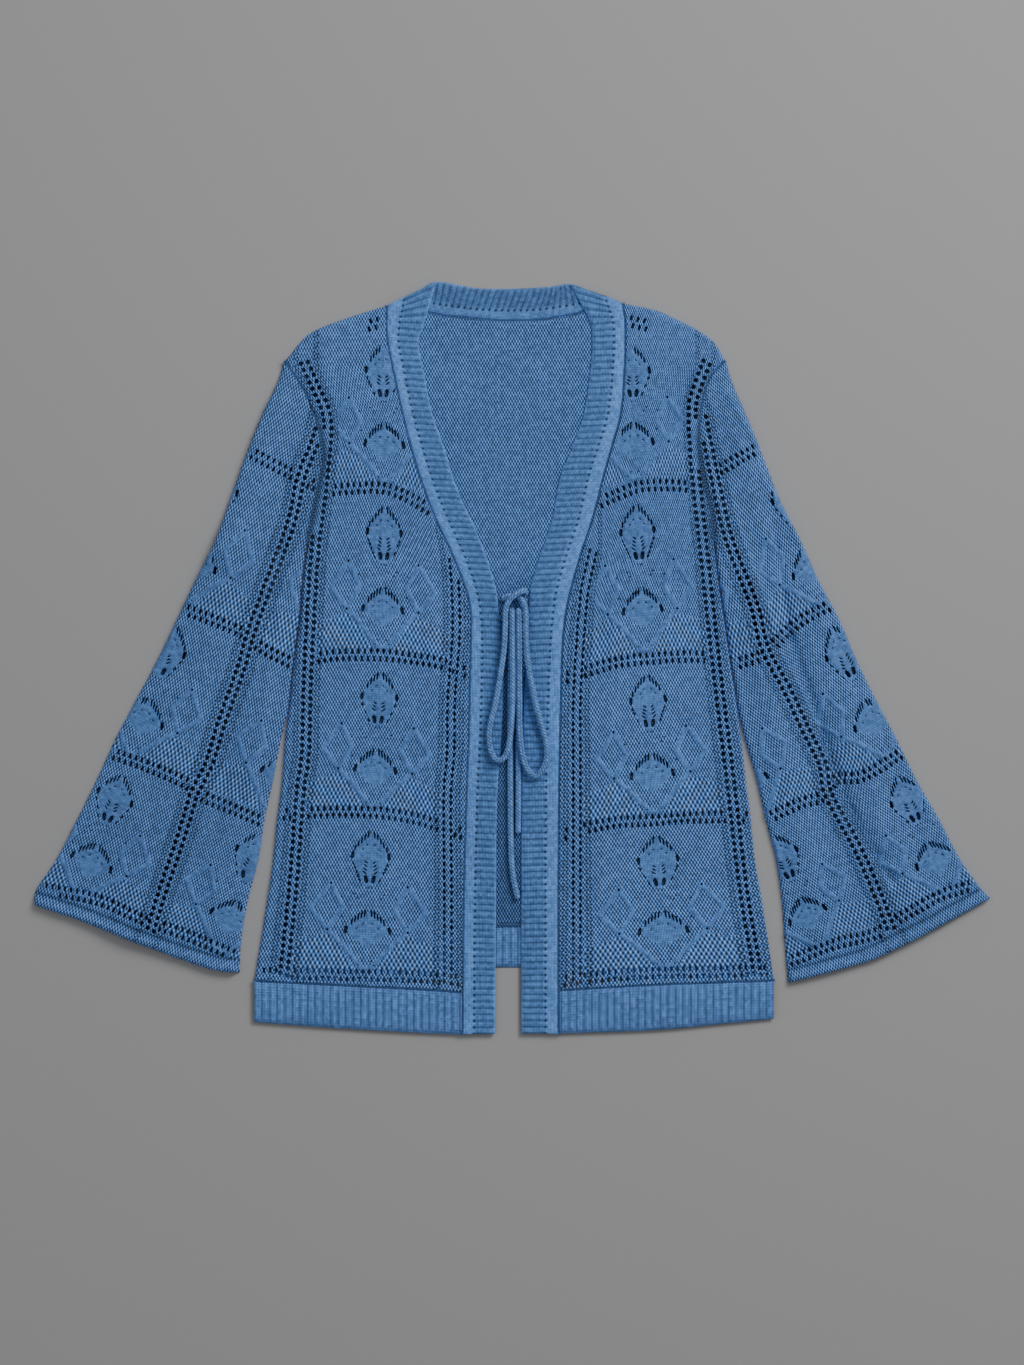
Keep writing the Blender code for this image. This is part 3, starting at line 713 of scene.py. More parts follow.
def latticeIn(outline, holes, cell, clear):
    # offset rows of points inside the outline and clear of its edge and of every hole
    low = outline.min(axis=0)
    high = outline.max(axis=0)
    rows = int((high[1] - low[1]) / (cell * rowShare)) + 1
    columns = int((high[0] - low[0]) / cell) + 2
    x = low[0] + np.arange(columns)[None, :] * cell + (np.arange(rows)[:, None] % 2) * cell / 2
    y = low[1] + np.arange(rows)[:, None] * cell * rowShare + np.zeros((1, columns))
    grid = np.stack([x, y], axis=2)
    keep = insideOf(grid.reshape(-1, 2), outline).reshape(rows, columns)
    loops = [np.vstack([outline, outline[:1]])]
    keep &= distanceTo(grid.reshape(-1, 2), loops[0], clear).reshape(rows, columns) >= clear
    for hole in holes:
        least = hole.min(axis=0) - clear
        most = hole.max(axis=0) + clear
        r0, r1 = max(0, int((least[1] - low[1]) / (cell * rowShare))), int((most[1] - low[1]) / (cell * rowShare)) + 2
        c0, c1 = max(0, int((least[0] - low[0]) / cell) - 1), int((most[0] - low[0]) / cell) + 2
        part = grid[r0:r1, c0:c1].reshape(-1, 2)
        if len(part):
            away = distanceTo(part, np.vstack([hole, hole[:1]]), clear)
            bad = (away < clear) | insideOf(part, hole)
            keep[r0:r1, c0:c1] &= ~bad.reshape(keep[r0:r1, c0:c1].shape)
    return grid[keep]


def triangles(loops, loose):
    # triangles inside the first loop and outside the others, and where each input point went
    points = []
    edges = []
    for loop in loops:
        first = len(points)
        points += [Vector(p) for p in loop]
        edges += [(first + i, first + (i + 1) % len(loop)) for i in range(len(loop))]
    border = len(points)
    points += [Vector(p) for p in loose]
    verts, _, faces, origins, _, _ = delaunay_2d_cdt(points, edges, [], 1, 1e-6)
    places = np.array([v[:] for v in verts])
    faces = np.array(faces)
    where = np.full(len(points), -1)
    for index, sources in enumerate(origins):
        for source in sources:
            where[source] = index
    owner = np.full(len(places), -1)
    start = 0
    for number, loop in enumerate(loops):
        owner[where[start:start + len(loop)]] = number
        start += len(loop)
    sameLoop = (owner[faces] == owner[faces[:, :1]]).all(axis=1) & (owner[faces[:, 0]] > 0)
    faces = faces[~sameLoop]
    a, b, c = places[faces[:, 0]], places[faces[:, 1]], places[faces[:, 2]]
    area = (b[:, 0] - a[:, 0]) * (c[:, 1] - a[:, 1]) - (b[:, 1] - a[:, 1]) * (c[:, 0] - a[:, 0])
    faces[area < 0] = faces[area < 0][:, ::-1]
    return places, faces, where[:border]


def shell(name, outline, holes, cell, top, under, material, knit, squares=()):
    # a closed wall between two height functions: fine above, coarse below
    loops = [outline] + [turnedLeft(h)[::-1] for h in holes]
    fine = latticeIn(outline, holes, cell, cell * 0.62)
    rough = latticeIn(outline, holes, lace["roughCell"], 3.0)
    upper, upperFaces, upperBorder = triangles(loops, fine)
    lower, lowerFaces, lowerBorder = triangles(loops, rough)
    z1, z0 = top(upper), under(lower)
    points = np.vstack([np.column_stack([upper, z1]), np.column_stack([lower, z0])])
    faces = upperFaces.tolist() + (lowerFaces[:, ::-1] + len(upper)).tolist()
    start = 0
    for loop in loops:
        ids = np.arange(start, start + len(loop))
        a, b = upperBorder[ids], upperBorder[np.roll(ids, -1)]
        c, d = lowerBorder[ids] + len(upper), lowerBorder[np.roll(ids, -1)] + len(upper)
        faces += np.column_stack([a, c, d, b]).tolist()
        start += len(loop)
    uv = knit(points[:, :2])
    piece = addPiece(name, points, faces, material, uv)
    if squares:
        paint(piece, "smooth", np.maximum(raisedAt(points[:, :2], squares) / lace["raisedLine"],
                                          maskAt(points[:, :2], squares, (leafOutline, archOutline))))
        paint(piece, "moss", maskAt(points[:, :2], squares, (mossCorner,)))
    print(name, len(holes), "holes", len(faces), "faces")
    return piece


def paint(piece, name, values):
    # keeps one number at each point of the piece for its material
    attribute = piece.data.attributes.new(name, "FLOAT", "POINT")
    attribute.data.foreach_set("value", np.asarray(values, np.float32))


def shadeOf(piece, amount):
    # painted shade in creases and on walls that others cover
    paint(piece, "shaded", amount(np.array([v.co[:2] for v in piece.data.vertices]) / mm))


def underarmShade(points, side):
    # painted shade in the deep fold where the sleeve turns under beside the body
    y = points[:, 1]
    deep = np.clip((225 - y) / 50, 0, 1) * np.clip((y - 85) / 25, 0, 1)
    return yarn["creaseShade"] * deep * np.exp(-(distanceTo(points, bodyEdge(side), 20) / 3.2) ** 2)


def maskAt(points, squares, outlines):
    # 1 inside any of the charted outlines, on both sides of each square's axis
    inside = np.zeros(len(points), bool)
    for corners in squares:
        for outline in outlines:
            for sign in (-1, 1):
                inside |= insideOf(points, [squarePlace(corners, sign * x, y) for x, y in outline])
    return inside.astype(float)


# Nodes: a wire is a socket, and Python's operators on it add Math nodes

class Wire:
    def __init__(self, tree, socket):
        self.tree = tree
        self.socket = socket

    def calc(self, operation, *values):
        return addNode(self.tree, "ShaderNodeMath", {"operation": operation}, dict(enumerate(values)))

    def __add__(self, other):
        return self.calc("ADD", self, other)

    def __radd__(self, other):
        return self.calc("ADD", other, self)

    def __sub__(self, other):
        return self.calc("SUBTRACT", self, other)

    def __rsub__(self, other):
        return self.calc("SUBTRACT", other, self)

    def __mul__(self, other):
        return self.calc("MULTIPLY", self, other)

    def __rmul__(self, other):
        return self.calc("MULTIPLY", other, self)

    def __truediv__(self, other):
        return self.calc("DIVIDE", self, other)

    def __pow__(self, other):
        return self.calc("POWER", self, other)

    def __abs__(self):
        return self.calc("ABSOLUTE", self)


def addNode(tree, kind, settings=None, values=None, output=0):
    # settings first, then what its sockets hold or are linked to, by name or number
    node = tree.nodes.new(kind)
    for name, value in (settings or {}).items():
        setattr(node, name, value)
    for name, value in (values or {}).items():
        socket = node.inputs[name]
        if isinstance(value, Wire):
            tree.links.new(value.socket, socket)
        else:
            socket.default_value = value
    return Wire(tree, node.outputs[output])


def sine(wire):
    return wire.calc("SINE", wire)


def fract(wire):
    return wire.calc("FRACT", wire)


def cosine(wire):
    return wire.calc("COSINE", wire)


def attributeOf(tree, name):
    return addNode(tree, "ShaderNodeAttribute", {"attribute_name": name}, output=2)


def newMaterial(name, roughness, specular):
    material = bpy.data.materials.new(name)
    material.use_nodes = True
    shader = material.node_tree.nodes["Principled BSDF"]
    shader.inputs["Roughness"].default_value = roughness
    shader.inputs["Specular IOR Level"].default_value = specular
    return material, material.node_tree, shader


def clothMaterial(name, colour, pattern, lines=(), rib=None):
    # knitted yarn: loops from the piece's own knit map, soft tone changes from its place
    material, tree, shader = newMaterial(name, yarn["roughness"], 0.2)
    places = addNode(tree, "ShaderNodeUVMap", {"uv_map": "knit"})
    parts = addNode(tree, "ShaderNodeSeparateXYZ", values={0: places})
    x = parts * 100
    y = Wire(tree, parts.socket.node.outputs[1]) * 100
    across = x / yarn["stitchWidth"]
    down = y / yarn["stitchHeight"]
    loops = pattern(tree, across, down)
    for offset in lines:  # small gaps beside the ladders, drawn as dotted lines of painted shade
        away = (x - offset) / lace["dotWidth"]
        dots = 0.5 + 0.5 * sine(y * (2 * math.pi / lace["dotPitch"]) + offset)
        loops = loops * (1 - 0.95 * dots / (1 + away * away * away * away))
    if rib:  # painted shade in the hollows between the ribs
        grooveShade = 1 - abs(sine(x * (math.pi / rib))) ** 0.65
        loops = loops * (1 - grooveShade * attributeOf(tree, "ribShare") * yarn["grooveShade"])
    cell = addNode(tree, "ShaderNodeCombineXYZ",
                   values={"X": across.calc("FLOOR", across), "Y": across.calc("FLOOR", down * 2)})
    heather = addNode(tree, "ShaderNodeTexWhiteNoise", {"noise_dimensions": "2D"}, {"Vector": cell})
    where = addNode(tree, "ShaderNodeTexCoord", output=3)
    drift = addNode(tree, "ShaderNodeTexNoise", values={"Vector": where, "Scale": 11.0, "Detail": 3.0})
    mottle = addNode(tree, "ShaderNodeTexNoise", values={"Vector": where, "Scale": 260.0, "Detail": 2.0})
    shade = loops * (yarn["tipShade"] - yarn["gapShade"]) + yarn["gapShade"]
    for share, noise in ((yarn["heather"], heather), (yarn["drift"], drift), (yarn["mottle"], mottle)):
        shade = shade * (1 - share / 2 + noise * share)
    shade = shade * (1 - attributeOf(tree, "shaded"))
    mixed = addNode(tree, "ShaderNodeVectorMath", {"operation": "SCALE"}, {0: colour, "Scale": shade})
    tree.links.new(mixed.socket, shader.inputs["Base Color"])
    height = loops + heather * 0.3
    bump = addNode(tree, "ShaderNodeBump", values={"Strength": 0.8, "Distance": yarn["bump"], "Height": height})
    tree.links.new(bump.socket, shader.inputs["Normal"])
    shader.inputs["Sheen Weight"].default_value = yarn["sheen"]
    shader.inputs["Sheen Roughness"].default_value = 0.6
    return material


def legs(across, down):
    # V-shaped stitches in columns
    middle = abs(fract(across) - 0.5)
    ridge = abs(sine(middle * (2 * math.pi))) ** 0.6
    rungs = abs(sine((down * 2 - middle * 1.5) * math.pi)) ** 0.7
    return ridge * (0.25 + rungs * 0.75)


def purl(tree, across, down):
    # light bumps with dark gaps, each row half a stitch to the side of the one above
    return (0.5 - 0.5 * cosine(across * (2 * math.pi)) * cosine(down * (2 * math.pi))) ** 1.7 * 1.45


def laced(tree, across, down):
    # purl ground, smooth raised lines and leaves, and a coarse moss stitch in the squares' corners
    smooth = attributeOf(tree, "smooth")
    moss = attributeOf(tree, "moss")
    coarse = purl(tree, across * 0.72, down * 0.72)
    ground = purl(tree, across, down) * (1 - moss) + coarse * moss
    return ground * (1 - smooth) + (0.16 + 0.62 * legs(across * 1.1, down * 1.2)) * smooth


def jersey(tree, across, down):
    return legs(across, down)


def banded(tree, across, down):
    # the same V stitches lying on their side, with a line of small gaps painted as dots of shade where the ribs begin
    place = attributeOf(tree, "ribPlace") / 1.1
    dots = 0.5 + 0.5 * cosine(across * (2 * math.pi * yarn["stitchWidth"] / band["pitch"]))
    plain = 1 - attributeOf(tree, "ribShare")
    tone = 0.26 + 0.62 * legs(down * 1.8, across * 0.55) + plain * 0.22
    return tone * (1 - dots * dots / (1 + place * place * place * place))


def twisted(tree, across, down):
    # slanting stitches of a knitted cord
    lean = abs(sine((down * 1.6 + across * 0.8) * math.pi)) ** 0.7
    return 0.16 + 0.6 * lean * (0.3 + 0.7 * abs(sine(across * math.pi)) ** 0.5)


firstDots = list(lace["dotPlaces"])
secondDots = [lace["squareWidth"] + place for place in firstDots]
frontKnit = clothMaterial("frontKnit", yarn["frontColour"], laced, firstDots + secondDots)
sleeveKnit = clothMaterial("sleeveKnit", yarn["sleeveColour"], laced, secondDots)
backKnit = clothMaterial("backPurl", yarn["backColour"], purl)
bandKnit = clothMaterial("bandRib", yarn["bandColour"], banded, rib=band["pitch"])
hemKnit = clothMaterial("hemRib", yarn["hemColour"], jersey, rib=hem["pitch"])
tieKnit = clothMaterial("tieCord", yarn["tieColour"], twisted)


def seamMaterial():
    # plain yarn of the linking stitches, read from its place
    material, tree, shader = newMaterial("seamYarn", yarn["roughness"], 0.5)
    where = addNode(tree, "ShaderNodeTexCoord", output=3)
    speckle = addNode(tree, "ShaderNodeTexNoise", values={"Vector": where, "Scale": 700.0, "Detail": 2.0})
    mixed = addNode(tree, "ShaderNodeVectorMath", {"operation": "SCALE"},
                    {0: yarn["bandColour"], "Scale": 0.2 + speckle * 0.6})
    tree.links.new(mixed.socket, shader.inputs["Base Color"])
    bump = addNode(tree, "ShaderNodeBump", values={"Strength": 0.5, "Distance": 0.0004, "Height": speckle})
    tree.links.new(bump.socket, shader.inputs["Normal"])
    return material


seamYarn = seamMaterial()
print("materials made")


# Shape of the cloth above the table

def swells(points, size, seed):
    # low uneven waves of the cloth, about -1 to 1
    chance = np.random.default_rng(seed)
    total = np.zeros(len(points))
    for _ in range(8):
        angle, phase = chance.uniform(0, 2 * math.pi, 2)
        length = size * chance.uniform(0.5, 1.6)
        total += np.sin((points @ [math.cos(angle), math.sin(angle)]) * 2 * math.pi / length + phase)
    return total / 5


def foldsAt(points, folds, seed):
    total = np.zeros(len(points))
    uneven = 1 + 0.25 * swells(points, 70, seed)
    for x0, y0, x1, y1, rise, half in folds:
        away = distanceTo(points, np.array([(x0, y0), (x1, y1)], float), half * 2.5)
        total += rise * 1.35 * np.exp(-(away / (half * 0.6)) ** 2) * uneven
    return total


def rolled(height, away, lip, low):
    # brings the wall down to low over its rounded fold
    t = 1 - np.minimum(away, lip) / lip
    return low + (height - low) * np.sqrt(np.maximum(1 - t * t, 0))


def raisedAt(points, squares):
    total = np.zeros(len(points))
    for corners in squares:
        for line in (diamondLine, veeLine):
            for sign in ((-1, 1) if line is diamondLine else (1,)):
                path = np.array([squarePlace(corners, sign * x, y) for x, y in line])
                away = distanceTo(points, path, 6)
                half = lace["raisedHalf"]
                total = np.maximum(total, lace["raisedLine"] * np.maximum(1 - (away / half) ** 2, 0) ** 0.6)
    return total


def risingUnder(points, line, reach):
    # underside that rises from the table over its folded edge
    away = np.minimum(distanceTo(points, line, reach), front["foldLip"]) / front["foldLip"]
    return lowest + (front["under"] - lowest) * away


def swellingWall(folds, squares, folded, seam, seed):
    # top and underside of a laced wall over what it lies on
    def top(points):
        height = front["under"] + yarn["cloth"]
        height += front["swell"] * swells(points, 60, seed) + front["ripple"] * swells(points, 17, seed + 1)
        height += foldsAt(points, folds, seed + 2) + raisedAt(points, squares)
        height -= front["seamDip"] * np.exp(-(distanceTo(points, seam, 12) / front["seamDipWidth"]) ** 2)
        return rolled(height, distanceTo(points, folded, 30), front["foldLip"], foldedEdge)

    def under(points):
        return risingUnder(points, folded, 30)

    return top, under


def extended(line, reach):
    first = line[0] + (line[0] - line[1]) / np.linalg.norm(line[0] - line[1]) * reach
    last = line[-1] + (line[-1] - line[-2]) / np.linalg.norm(line[-1] - line[-2]) * reach
    return np.vstack([first, line, last])


def laceHoles(rows, ladders, sizes, squares, outline, margin):
    holes = []
    for ladder, size in zip(ladders, sizes):
        holes += ladderHoles(extended(softLine(ladder, fineStep), 6), size)
    for row in rows:
        holes += eyeletRow(extended(softLine(row, fineStep), 14))
    for corners in squares:
        holes += motifHoles(corners)
    return apart(holes, outline, margin)


def areaOf(outline):
    x, y = outline[:, 0], outline[:, 1]
    return abs(np.sum(x * np.roll(y, -1) - np.roll(x, -1) * y)) / 2 * mm * mm


def laidSheet(outline):
    # works out the area of the cut of the cloth; nothing is kept or used
    area = areaOf(outline)


# Back: plain jersey laid inside out, so that its purl side shows between the fronts

def makeBack():
    sides = []
    for side, inset in (("right", -back["inset"]), ("left", back["inset"])):
        edge = moved(bodyEdge(side), inset)
        top = moved(softLine(shoulder[side], coarseStep), inset)[2:-1]
        sides.append(np.vstack([edge[edge[:, 1] > back["sidesFrom"]], top]))
    hemLine = softLine([(row[0], row[1] + seamHalf) for row in backHem], coarseStep)[1:-1]
    outline = turnedLeft(np.vstack([sides[0], neckSeam(coarseStep), sides[1][::-1], hemLine[::-1]]))

    def top(points):
        return back["top"] + 0.15 * swells(points, 60, 5) + 0.1 * swells(points, 18, 6)

    def under(points):
        return np.full(len(points), lowest)

    piece = shell("backPanel", outline, [], back["cell"], top, under, backKnit, lambda p: p)
    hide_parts("back_panel")
    shadeOf(piece, lambda points: np.where(
        insideOf(points, frontOutline("right")) | insideOf(points, frontOutline("left")), yarn["coveredShade"],
        yarn["gapShadow"] * (np.abs(points[:, 0]) < 30) * np.clip((80 - points[:, 1]) / 50, 0, 1)))
    laidSheet(outline)


makeBack()


# Fronts and sleeves: the lace is cut through the wall, and folded edges roll down to the table

def makeFront(side):
    outline = frontOutline(side)
    edge = bodyEdge(side)
    folded = edge[edge[:, 1] < sleeve["armholeFrom"]]
    tops = softLine(shoulder[side], coarseStep)
    seam = edge[edge[:, 1] > sleeve["armholeFrom"]]
    corners = squaresOf(frontSquares[side], rowBows[side])
    top, under = swellingWall(frontFolds[side], corners, folded, seam, 11 if side == "right" else 23)

    def topWithShoulder(points):
        return rolled(top(points), distanceTo(points, tops, 20), front["foldLip"], foldedEdge)

    def underWithShoulder(points):
        return np.minimum(under(points), risingUnder(points, tops, 20))

    def knit(points):
        return knitPlaces(points, frontLadders[side], frontRows[side], 0.0)

    sizes = (lace["outerLadderHole"], lace["innerLadderHole"])
    holes = laceHoles(frontRows[side], frontLadders[side], sizes, corners, outline, front["holeMargin"])
    piece = shell("front_" + side + "_knit", outline, holes, lace["cell"], topWithShoulder, underWithShoulder,
                  frontKnit, knit, corners)
    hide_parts("front_" + side)
    shadeOf(piece, lambda points: underarmShade(points, side))
    laidSheet(outline)


def makeSleeve(side):
    outline = sleeveOutline(side)
    outer, end, free, beside, armhole = sleeveLines(side)
    inner = np.vstack([free[::-1], beside])
    corners = squaresOf(sleeveSquares[side], flatRows)
    swellingTop, _ = swellingWall(sleeveFolds[side], corners, outer, armhole, 37 if side == "right" else 51)

    def fromEnd(points):
        return distanceTo(points, end, 20) + 0.7 * swells(points, 40, 91)

    def top(points):
        height = rolled(swellingTop(points), distanceTo(points, inner, 30), front["foldLip"], foldedEdge)
        away = fromEnd(points)
        t = np.clip(away / (sleeve["cuffRoll"] / 2) - 1, -1, 1)
        roll = sleeve["cuffRise"] * np.sqrt(1 - t * t)
        crease = sleeve["creaseDepth"] * np.exp(-((away - sleeve["creaseAt"]) / sleeve["creaseWidth"]) ** 2)
        share = np.minimum(1, np.minimum(distanceTo(points, outer, 9), distanceTo(points, free, 9)) / 5)
        return np.maximum(height + (roll - crease) * share, 2 * lowest)

    def under(points):
        return np.minimum(risingUnder(points, outer, 30), risingUnder(points, inner, 30))

    angle = sleeve["slant"] if side == "right" else -sleeve["slant"]
    sizes = (lace["outerLadderHole"],)
    holes = laceHoles(sleeveRows[side], sleeveLadders[side], sizes, corners, outline, sleeve["holeMargin"])
    holes = [hole for hole in holes if distanceTo(hole, end).min() > sleeve["cuffPlain"]]

    def knit(points):
        columns = np.array(sleeveSquares[side])
        return knitPlaces(points, [columns[:, 0], sleeveLadders[side][0], columns[:, 2]], sleeveRows[side], angle)

    upper = shell("sleeve_" + side + "_upper", outline, holes, lace["cell"], top, under, sleeveKnit,
                  knit, corners)
    inset = insetOutline(outline, back["inset"])

    def lowerTop(points):
        return back["top"] + 0.15 * swells(points, 50, 71)

    def lowerUnder(points):
        return np.full(len(points), lowest)

    lower = shell("sleeve_" + side + "_lower", inset, [], sleeve["lowerCell"], lowerTop, lowerUnder, sleeveKnit,
                  knit)
    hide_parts("sleeve_upper_" + side)
    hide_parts("sleeve_lower_" + side)
    # painted shade along the cuff's crease and in the underarm fold
    shadeOf(upper, lambda points: np.maximum(0.6 * np.exp(-((fromEnd(points) - sleeve["creaseAt"]) / 1.2) ** 2),
                                             underarmShade(points, side)))
    shadeOf(lower, lambda points: np.full(len(points), yarn["coveredShade"]))
    laidSheet(outline)
    laidSheet(inset)


for side in ("right", "left"):
    makeFront(side)
    makeSleeve(side)


# Ribs: a flat strip whose top is raised into ribs by Geometry Nodes

def newTree(name, numbers):
    # a Geometry Nodes tree with its named inputs as wires
    tree = bpy.data.node_groups.new(name, "GeometryNodeTree")
    kinds = [("Geometry", "Geometry")] + [(number, "Float") for number in numbers] + [("Material", "Material")]
    for label, kind in kinds:
        tree.interface.new_socket(label, in_out="INPUT", socket_type="NodeSocket" + kind)
    tree.interface.new_socket("Geometry", in_out="OUTPUT", socket_type="NodeSocketGeometry")
    given = tree.nodes.new("NodeGroupInput")
    return tree, {socket.name: Wire(tree, socket) for socket in given.outputs if socket.name}


def finishTree(tree, geometry, material):
    plain = addNode(tree, "GeometryNodeRealizeInstances", values={0: geometry})
    finished = addNode(tree, "GeometryNodeSetMaterial", values={"Geometry": plain, "Material": material})
    result = tree.nodes.new("NodeGroupOutput")
    tree.links.new(finished.socket, result.inputs[0])
    return tree


def ribTree():
    tree, inputs = newTree("ribs", ("Pitch", "Rise", "Roundness"))
    along = addNode(tree, "GeometryNodeInputNamedAttribute", {"data_type": "FLOAT"}, {"Name": "along"})
    share = addNode(tree, "GeometryNodeInputNamedAttribute", {"data_type": "FLOAT"}, {"Name": "ribShare"})
    wave = abs(sine(along / inputs["Pitch"] * math.pi)) ** inputs["Roundness"]
    lift = addNode(tree, "ShaderNodeCombineXYZ", values={"Z": wave * share * inputs["Rise"]})
    raised = addNode(tree, "GeometryNodeSetPosition", values={"Geometry": inputs["Geometry"], "Offset": lift})
    return finishTree(tree, raised, inputs["Material"])


def grownBy(piece, tree, values):
    # runs a tree on the piece and keeps the result as its plain mesh
    modifier = piece.modifiers.new(tree.name, "NODES")
    modifier.node_group = tree
    for socket in tree.interface.items_tree:
        if socket.in_out == "INPUT" and socket.name in values:
            modifier[socket.identifier] = values[socket.name]
    graph = bpy.context.evaluated_depsgraph_get()
    made = bpy.data.meshes.new_from_object(piece.evaluated_get(graph))
    old = piece.data
    piece.modifiers.remove(modifier)
    if piece.type == "MESH":
        made.name = old.name
        piece.data = made
        return piece
    return made


def strip(name, table, between, sizes, height, material):
    # each row of the table crosses the strip, and between says how many rows lie from each rail to the next
    pitch, steps = sizes["pitch"], sizes["steps"]
    joint = softLine(table, fineStep)
    longest = lengthsOf(joint[:, :2])[-1]
    count = int(round(longest / pitch)) * steps + 1
    joint = spaced(joint, count)
    rails = [joint[:, i:i + 2] for i in range(0, joint.shape[1], 2)]
    rows = []
    for a, b, number in zip(rails, rails[1:], between):
        rows += [a + (b - a) * i / number for i in range(number)]
    rows.append(rails[-1])
    rows = np.array(rows)
    width = np.linalg.norm(np.diff(rows, axis=0), axis=2)
    away = np.vstack([np.zeros(count), np.cumsum(width, axis=0)])
    edge = np.minimum(away, away[-1] - away)
    along = np.broadcast_to(np.linspace(0, longest, count), away.shape)
    place = away - sizes["start"] * away[-1]
    shares = np.clip(place / ribRamp, 0, 1)
    z = height(place, along)
    z = rolled(z, edge, 1.6, sizes["under"] + 0.5)
    points = np.concatenate([rows, z[:, :, None]], axis=2).reshape(-1, 3)
    total = len(points)
    low = np.concatenate([np.column_stack([rows[0], np.full(count, sizes["under"])]),
                          np.column_stack([rows[-1], np.full(count, sizes["under"])])])
    last = len(rows) - 1
    faces = []
    for r in range(last):
        ids = r * count + np.arange(count - 1)
        faces += np.column_stack([ids, ids + 1, ids + count + 1, ids + count]).tolist()
    ids = np.arange(count - 1)
    faces += np.column_stack([ids + 1, ids, total + ids, total + ids + 1]).tolist()
    ids2 = last * count + ids
    faces += np.column_stack([ids2, ids2 + 1, total + count + ids + 1, total + count + ids]).tolist()
    faces += np.column_stack([total + ids + 1, total + ids, total + count + ids, total + count + ids + 1]).tolist()
    faces.append([total, *range(0, total, count), total + count])
    faces.append([total + 2 * count - 1, *range(total - 1, 0, -count), total + count - 1])
    knit = np.concatenate([np.stack([along, away], axis=2).reshape(-1, 2),
                           np.column_stack([along[0], away[0]]), np.column_stack([along[0], away[-1]])])
    piece = addPiece(name, np.vstack([points, low]), faces, material, knit)
    none = np.zeros(2 * count)
    paint(piece, "along", np.concatenate([along.ravel(), along[0], along[0]]))
    paint(piece, "ribShare", np.concatenate([(shares * np.minimum(edge / 1.2, 1)).ravel(), none]))
    paint(piece, "ribPlace", np.concatenate([place.ravel(), none + 9]))
    grownBy(piece, ribs, {"Pitch": pitch, "Rise": sizes["rise"] * mm, "Roundness": 0.75, "Material": material})
    if sum(p.normal.z * p.area for p in piece.data.polygons if p.center.z > (sizes["under"] + 0.6) * mm) < 0:
        piece.data.flip_normals()
    outline = np.vstack([rows[0], rows[-1][::-1]])
    print(name, len(piece.data.polygons), "faces")
    return piece, outline, longest


ribs = ribTree()


def makeBand(side):
    table = [(row[1], row[0], row[2], row[0] - 0.6, row[3], row[0] - 1.5) for row in bandLines[side]]
    table[0] = table[0][:3] + (table[0][1], table[0][4], table[0][1])
    table.append(sum(bandTop[side], ()))

    def height(place, along):
        dip = 0.7 * np.exp(-(place / 0.9) ** 2) * (0.5 + 0.5 * np.cos(2 * math.pi * along / band["pitch"]))
        plain = 1 - np.clip(place / ribRamp, 0, 1)
        return band["top"] - band["rise"] * 0.75 + plain * band["rise"] * 0.55 - dip

    piece, outline, length = strip("band_" + side + "_rib", table, (4, 9), band, height, bandKnit)
    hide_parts("front_band_" + side)
    laidSheet(outline)


def makeHem(name, node, table, under):
    table = [(row[0], row[1], row[0], row[2]) for row in table]

    def height(place, along):
        return under + hem["top"] + 0.12 * np.sin(along / 23.0)

    piece, outline, length = strip(name, table, (8,), {**hem, "under": under}, height, hemKnit)
    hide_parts(node)
    laidSheet(outline)


def makeNeckRib():
    table = [row[2:4] + row[0:2] for row in neckRib]

    def height(place, along):
        return neck["top"] - 0.3 * np.clip(place / ribRamp, 0, 1)

    piece, outline, length = strip("neck_rib_knit", table, (12,), {**band, **neck}, height, bandKnit)
    shadeOf(piece, lambda points: np.full(len(points), yarn["neckShade"]))
    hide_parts("back_neck_rib")
    laidSheet(outline)


for side in ("right", "left"):
    makeBand(side)
    makeHem("hem_" + side + "_rib", "front_hem_" + side, frontHem[side], front["under"])
makeHem("hem_back_rib", "back_hem", backHem, lowest)
makeNeckRib()


# Seams: linked chains of slanting loops along every join, made by Geometry Nodes

def chainTree():
    tree, inputs = newTree("seamChain", ("Pitch", "Length", "Width", "Gap", "Lean"))
    line = addNode(tree, "GeometryNodeMeshToCurve", values={"Mesh": inputs["Geometry"]})
    line = addNode(tree, "GeometryNodeResampleCurve", {"mode": "LENGTH"}, {"Curve": line, "Length": inputs["Pitch"]})
    ahead = addNode(tree, "GeometryNodeInputTangent")
    across = addNode(tree, "ShaderNodeVectorMath", {"operation": "CROSS_PRODUCT"}, {0: ahead, 1: (0, 0, 1)})
    loop = addNode(tree, "GeometryNodeMeshUVSphere", values={"Segments": 6, "Rings": 4, "Radius": 0.5})
    size = addNode(tree, "ShaderNodeCombineXYZ", values={"X": inputs["Length"], "Y": inputs["Width"],
                                                         "Z": inputs["Width"]})
    joined = tree.nodes.new("GeometryNodeJoinGeometry")
    for sign in (-1, 1):
        aside = addNode(tree, "ShaderNodeVectorMath", {"operation": "SCALE"},
                        {0: across, "Scale": inputs["Gap"] * sign})
        leaning = addNode(tree, "ShaderNodeVectorMath", {"operation": "MULTIPLY_ADD"},
                          {0: across, 1: inputs["Lean"] * sign, 2: ahead})
        places = addNode(tree, "GeometryNodeSetPosition", values={"Geometry": line, "Offset": aside})
        turned = addNode(tree, "FunctionNodeAlignRotationToVector", {"axis": "X", "pivot_axis": "Z"},
                         {"Vector": leaning})
        loops = addNode(tree, "GeometryNodeInstanceOnPoints",
                        values={"Points": places, "Instance": loop, "Rotation": turned, "Scale": size})
        tree.links.new(loops.socket, joined.inputs[0])
    return finishTree(tree, Wire(tree, joined.outputs[0]), inputs["Material"])


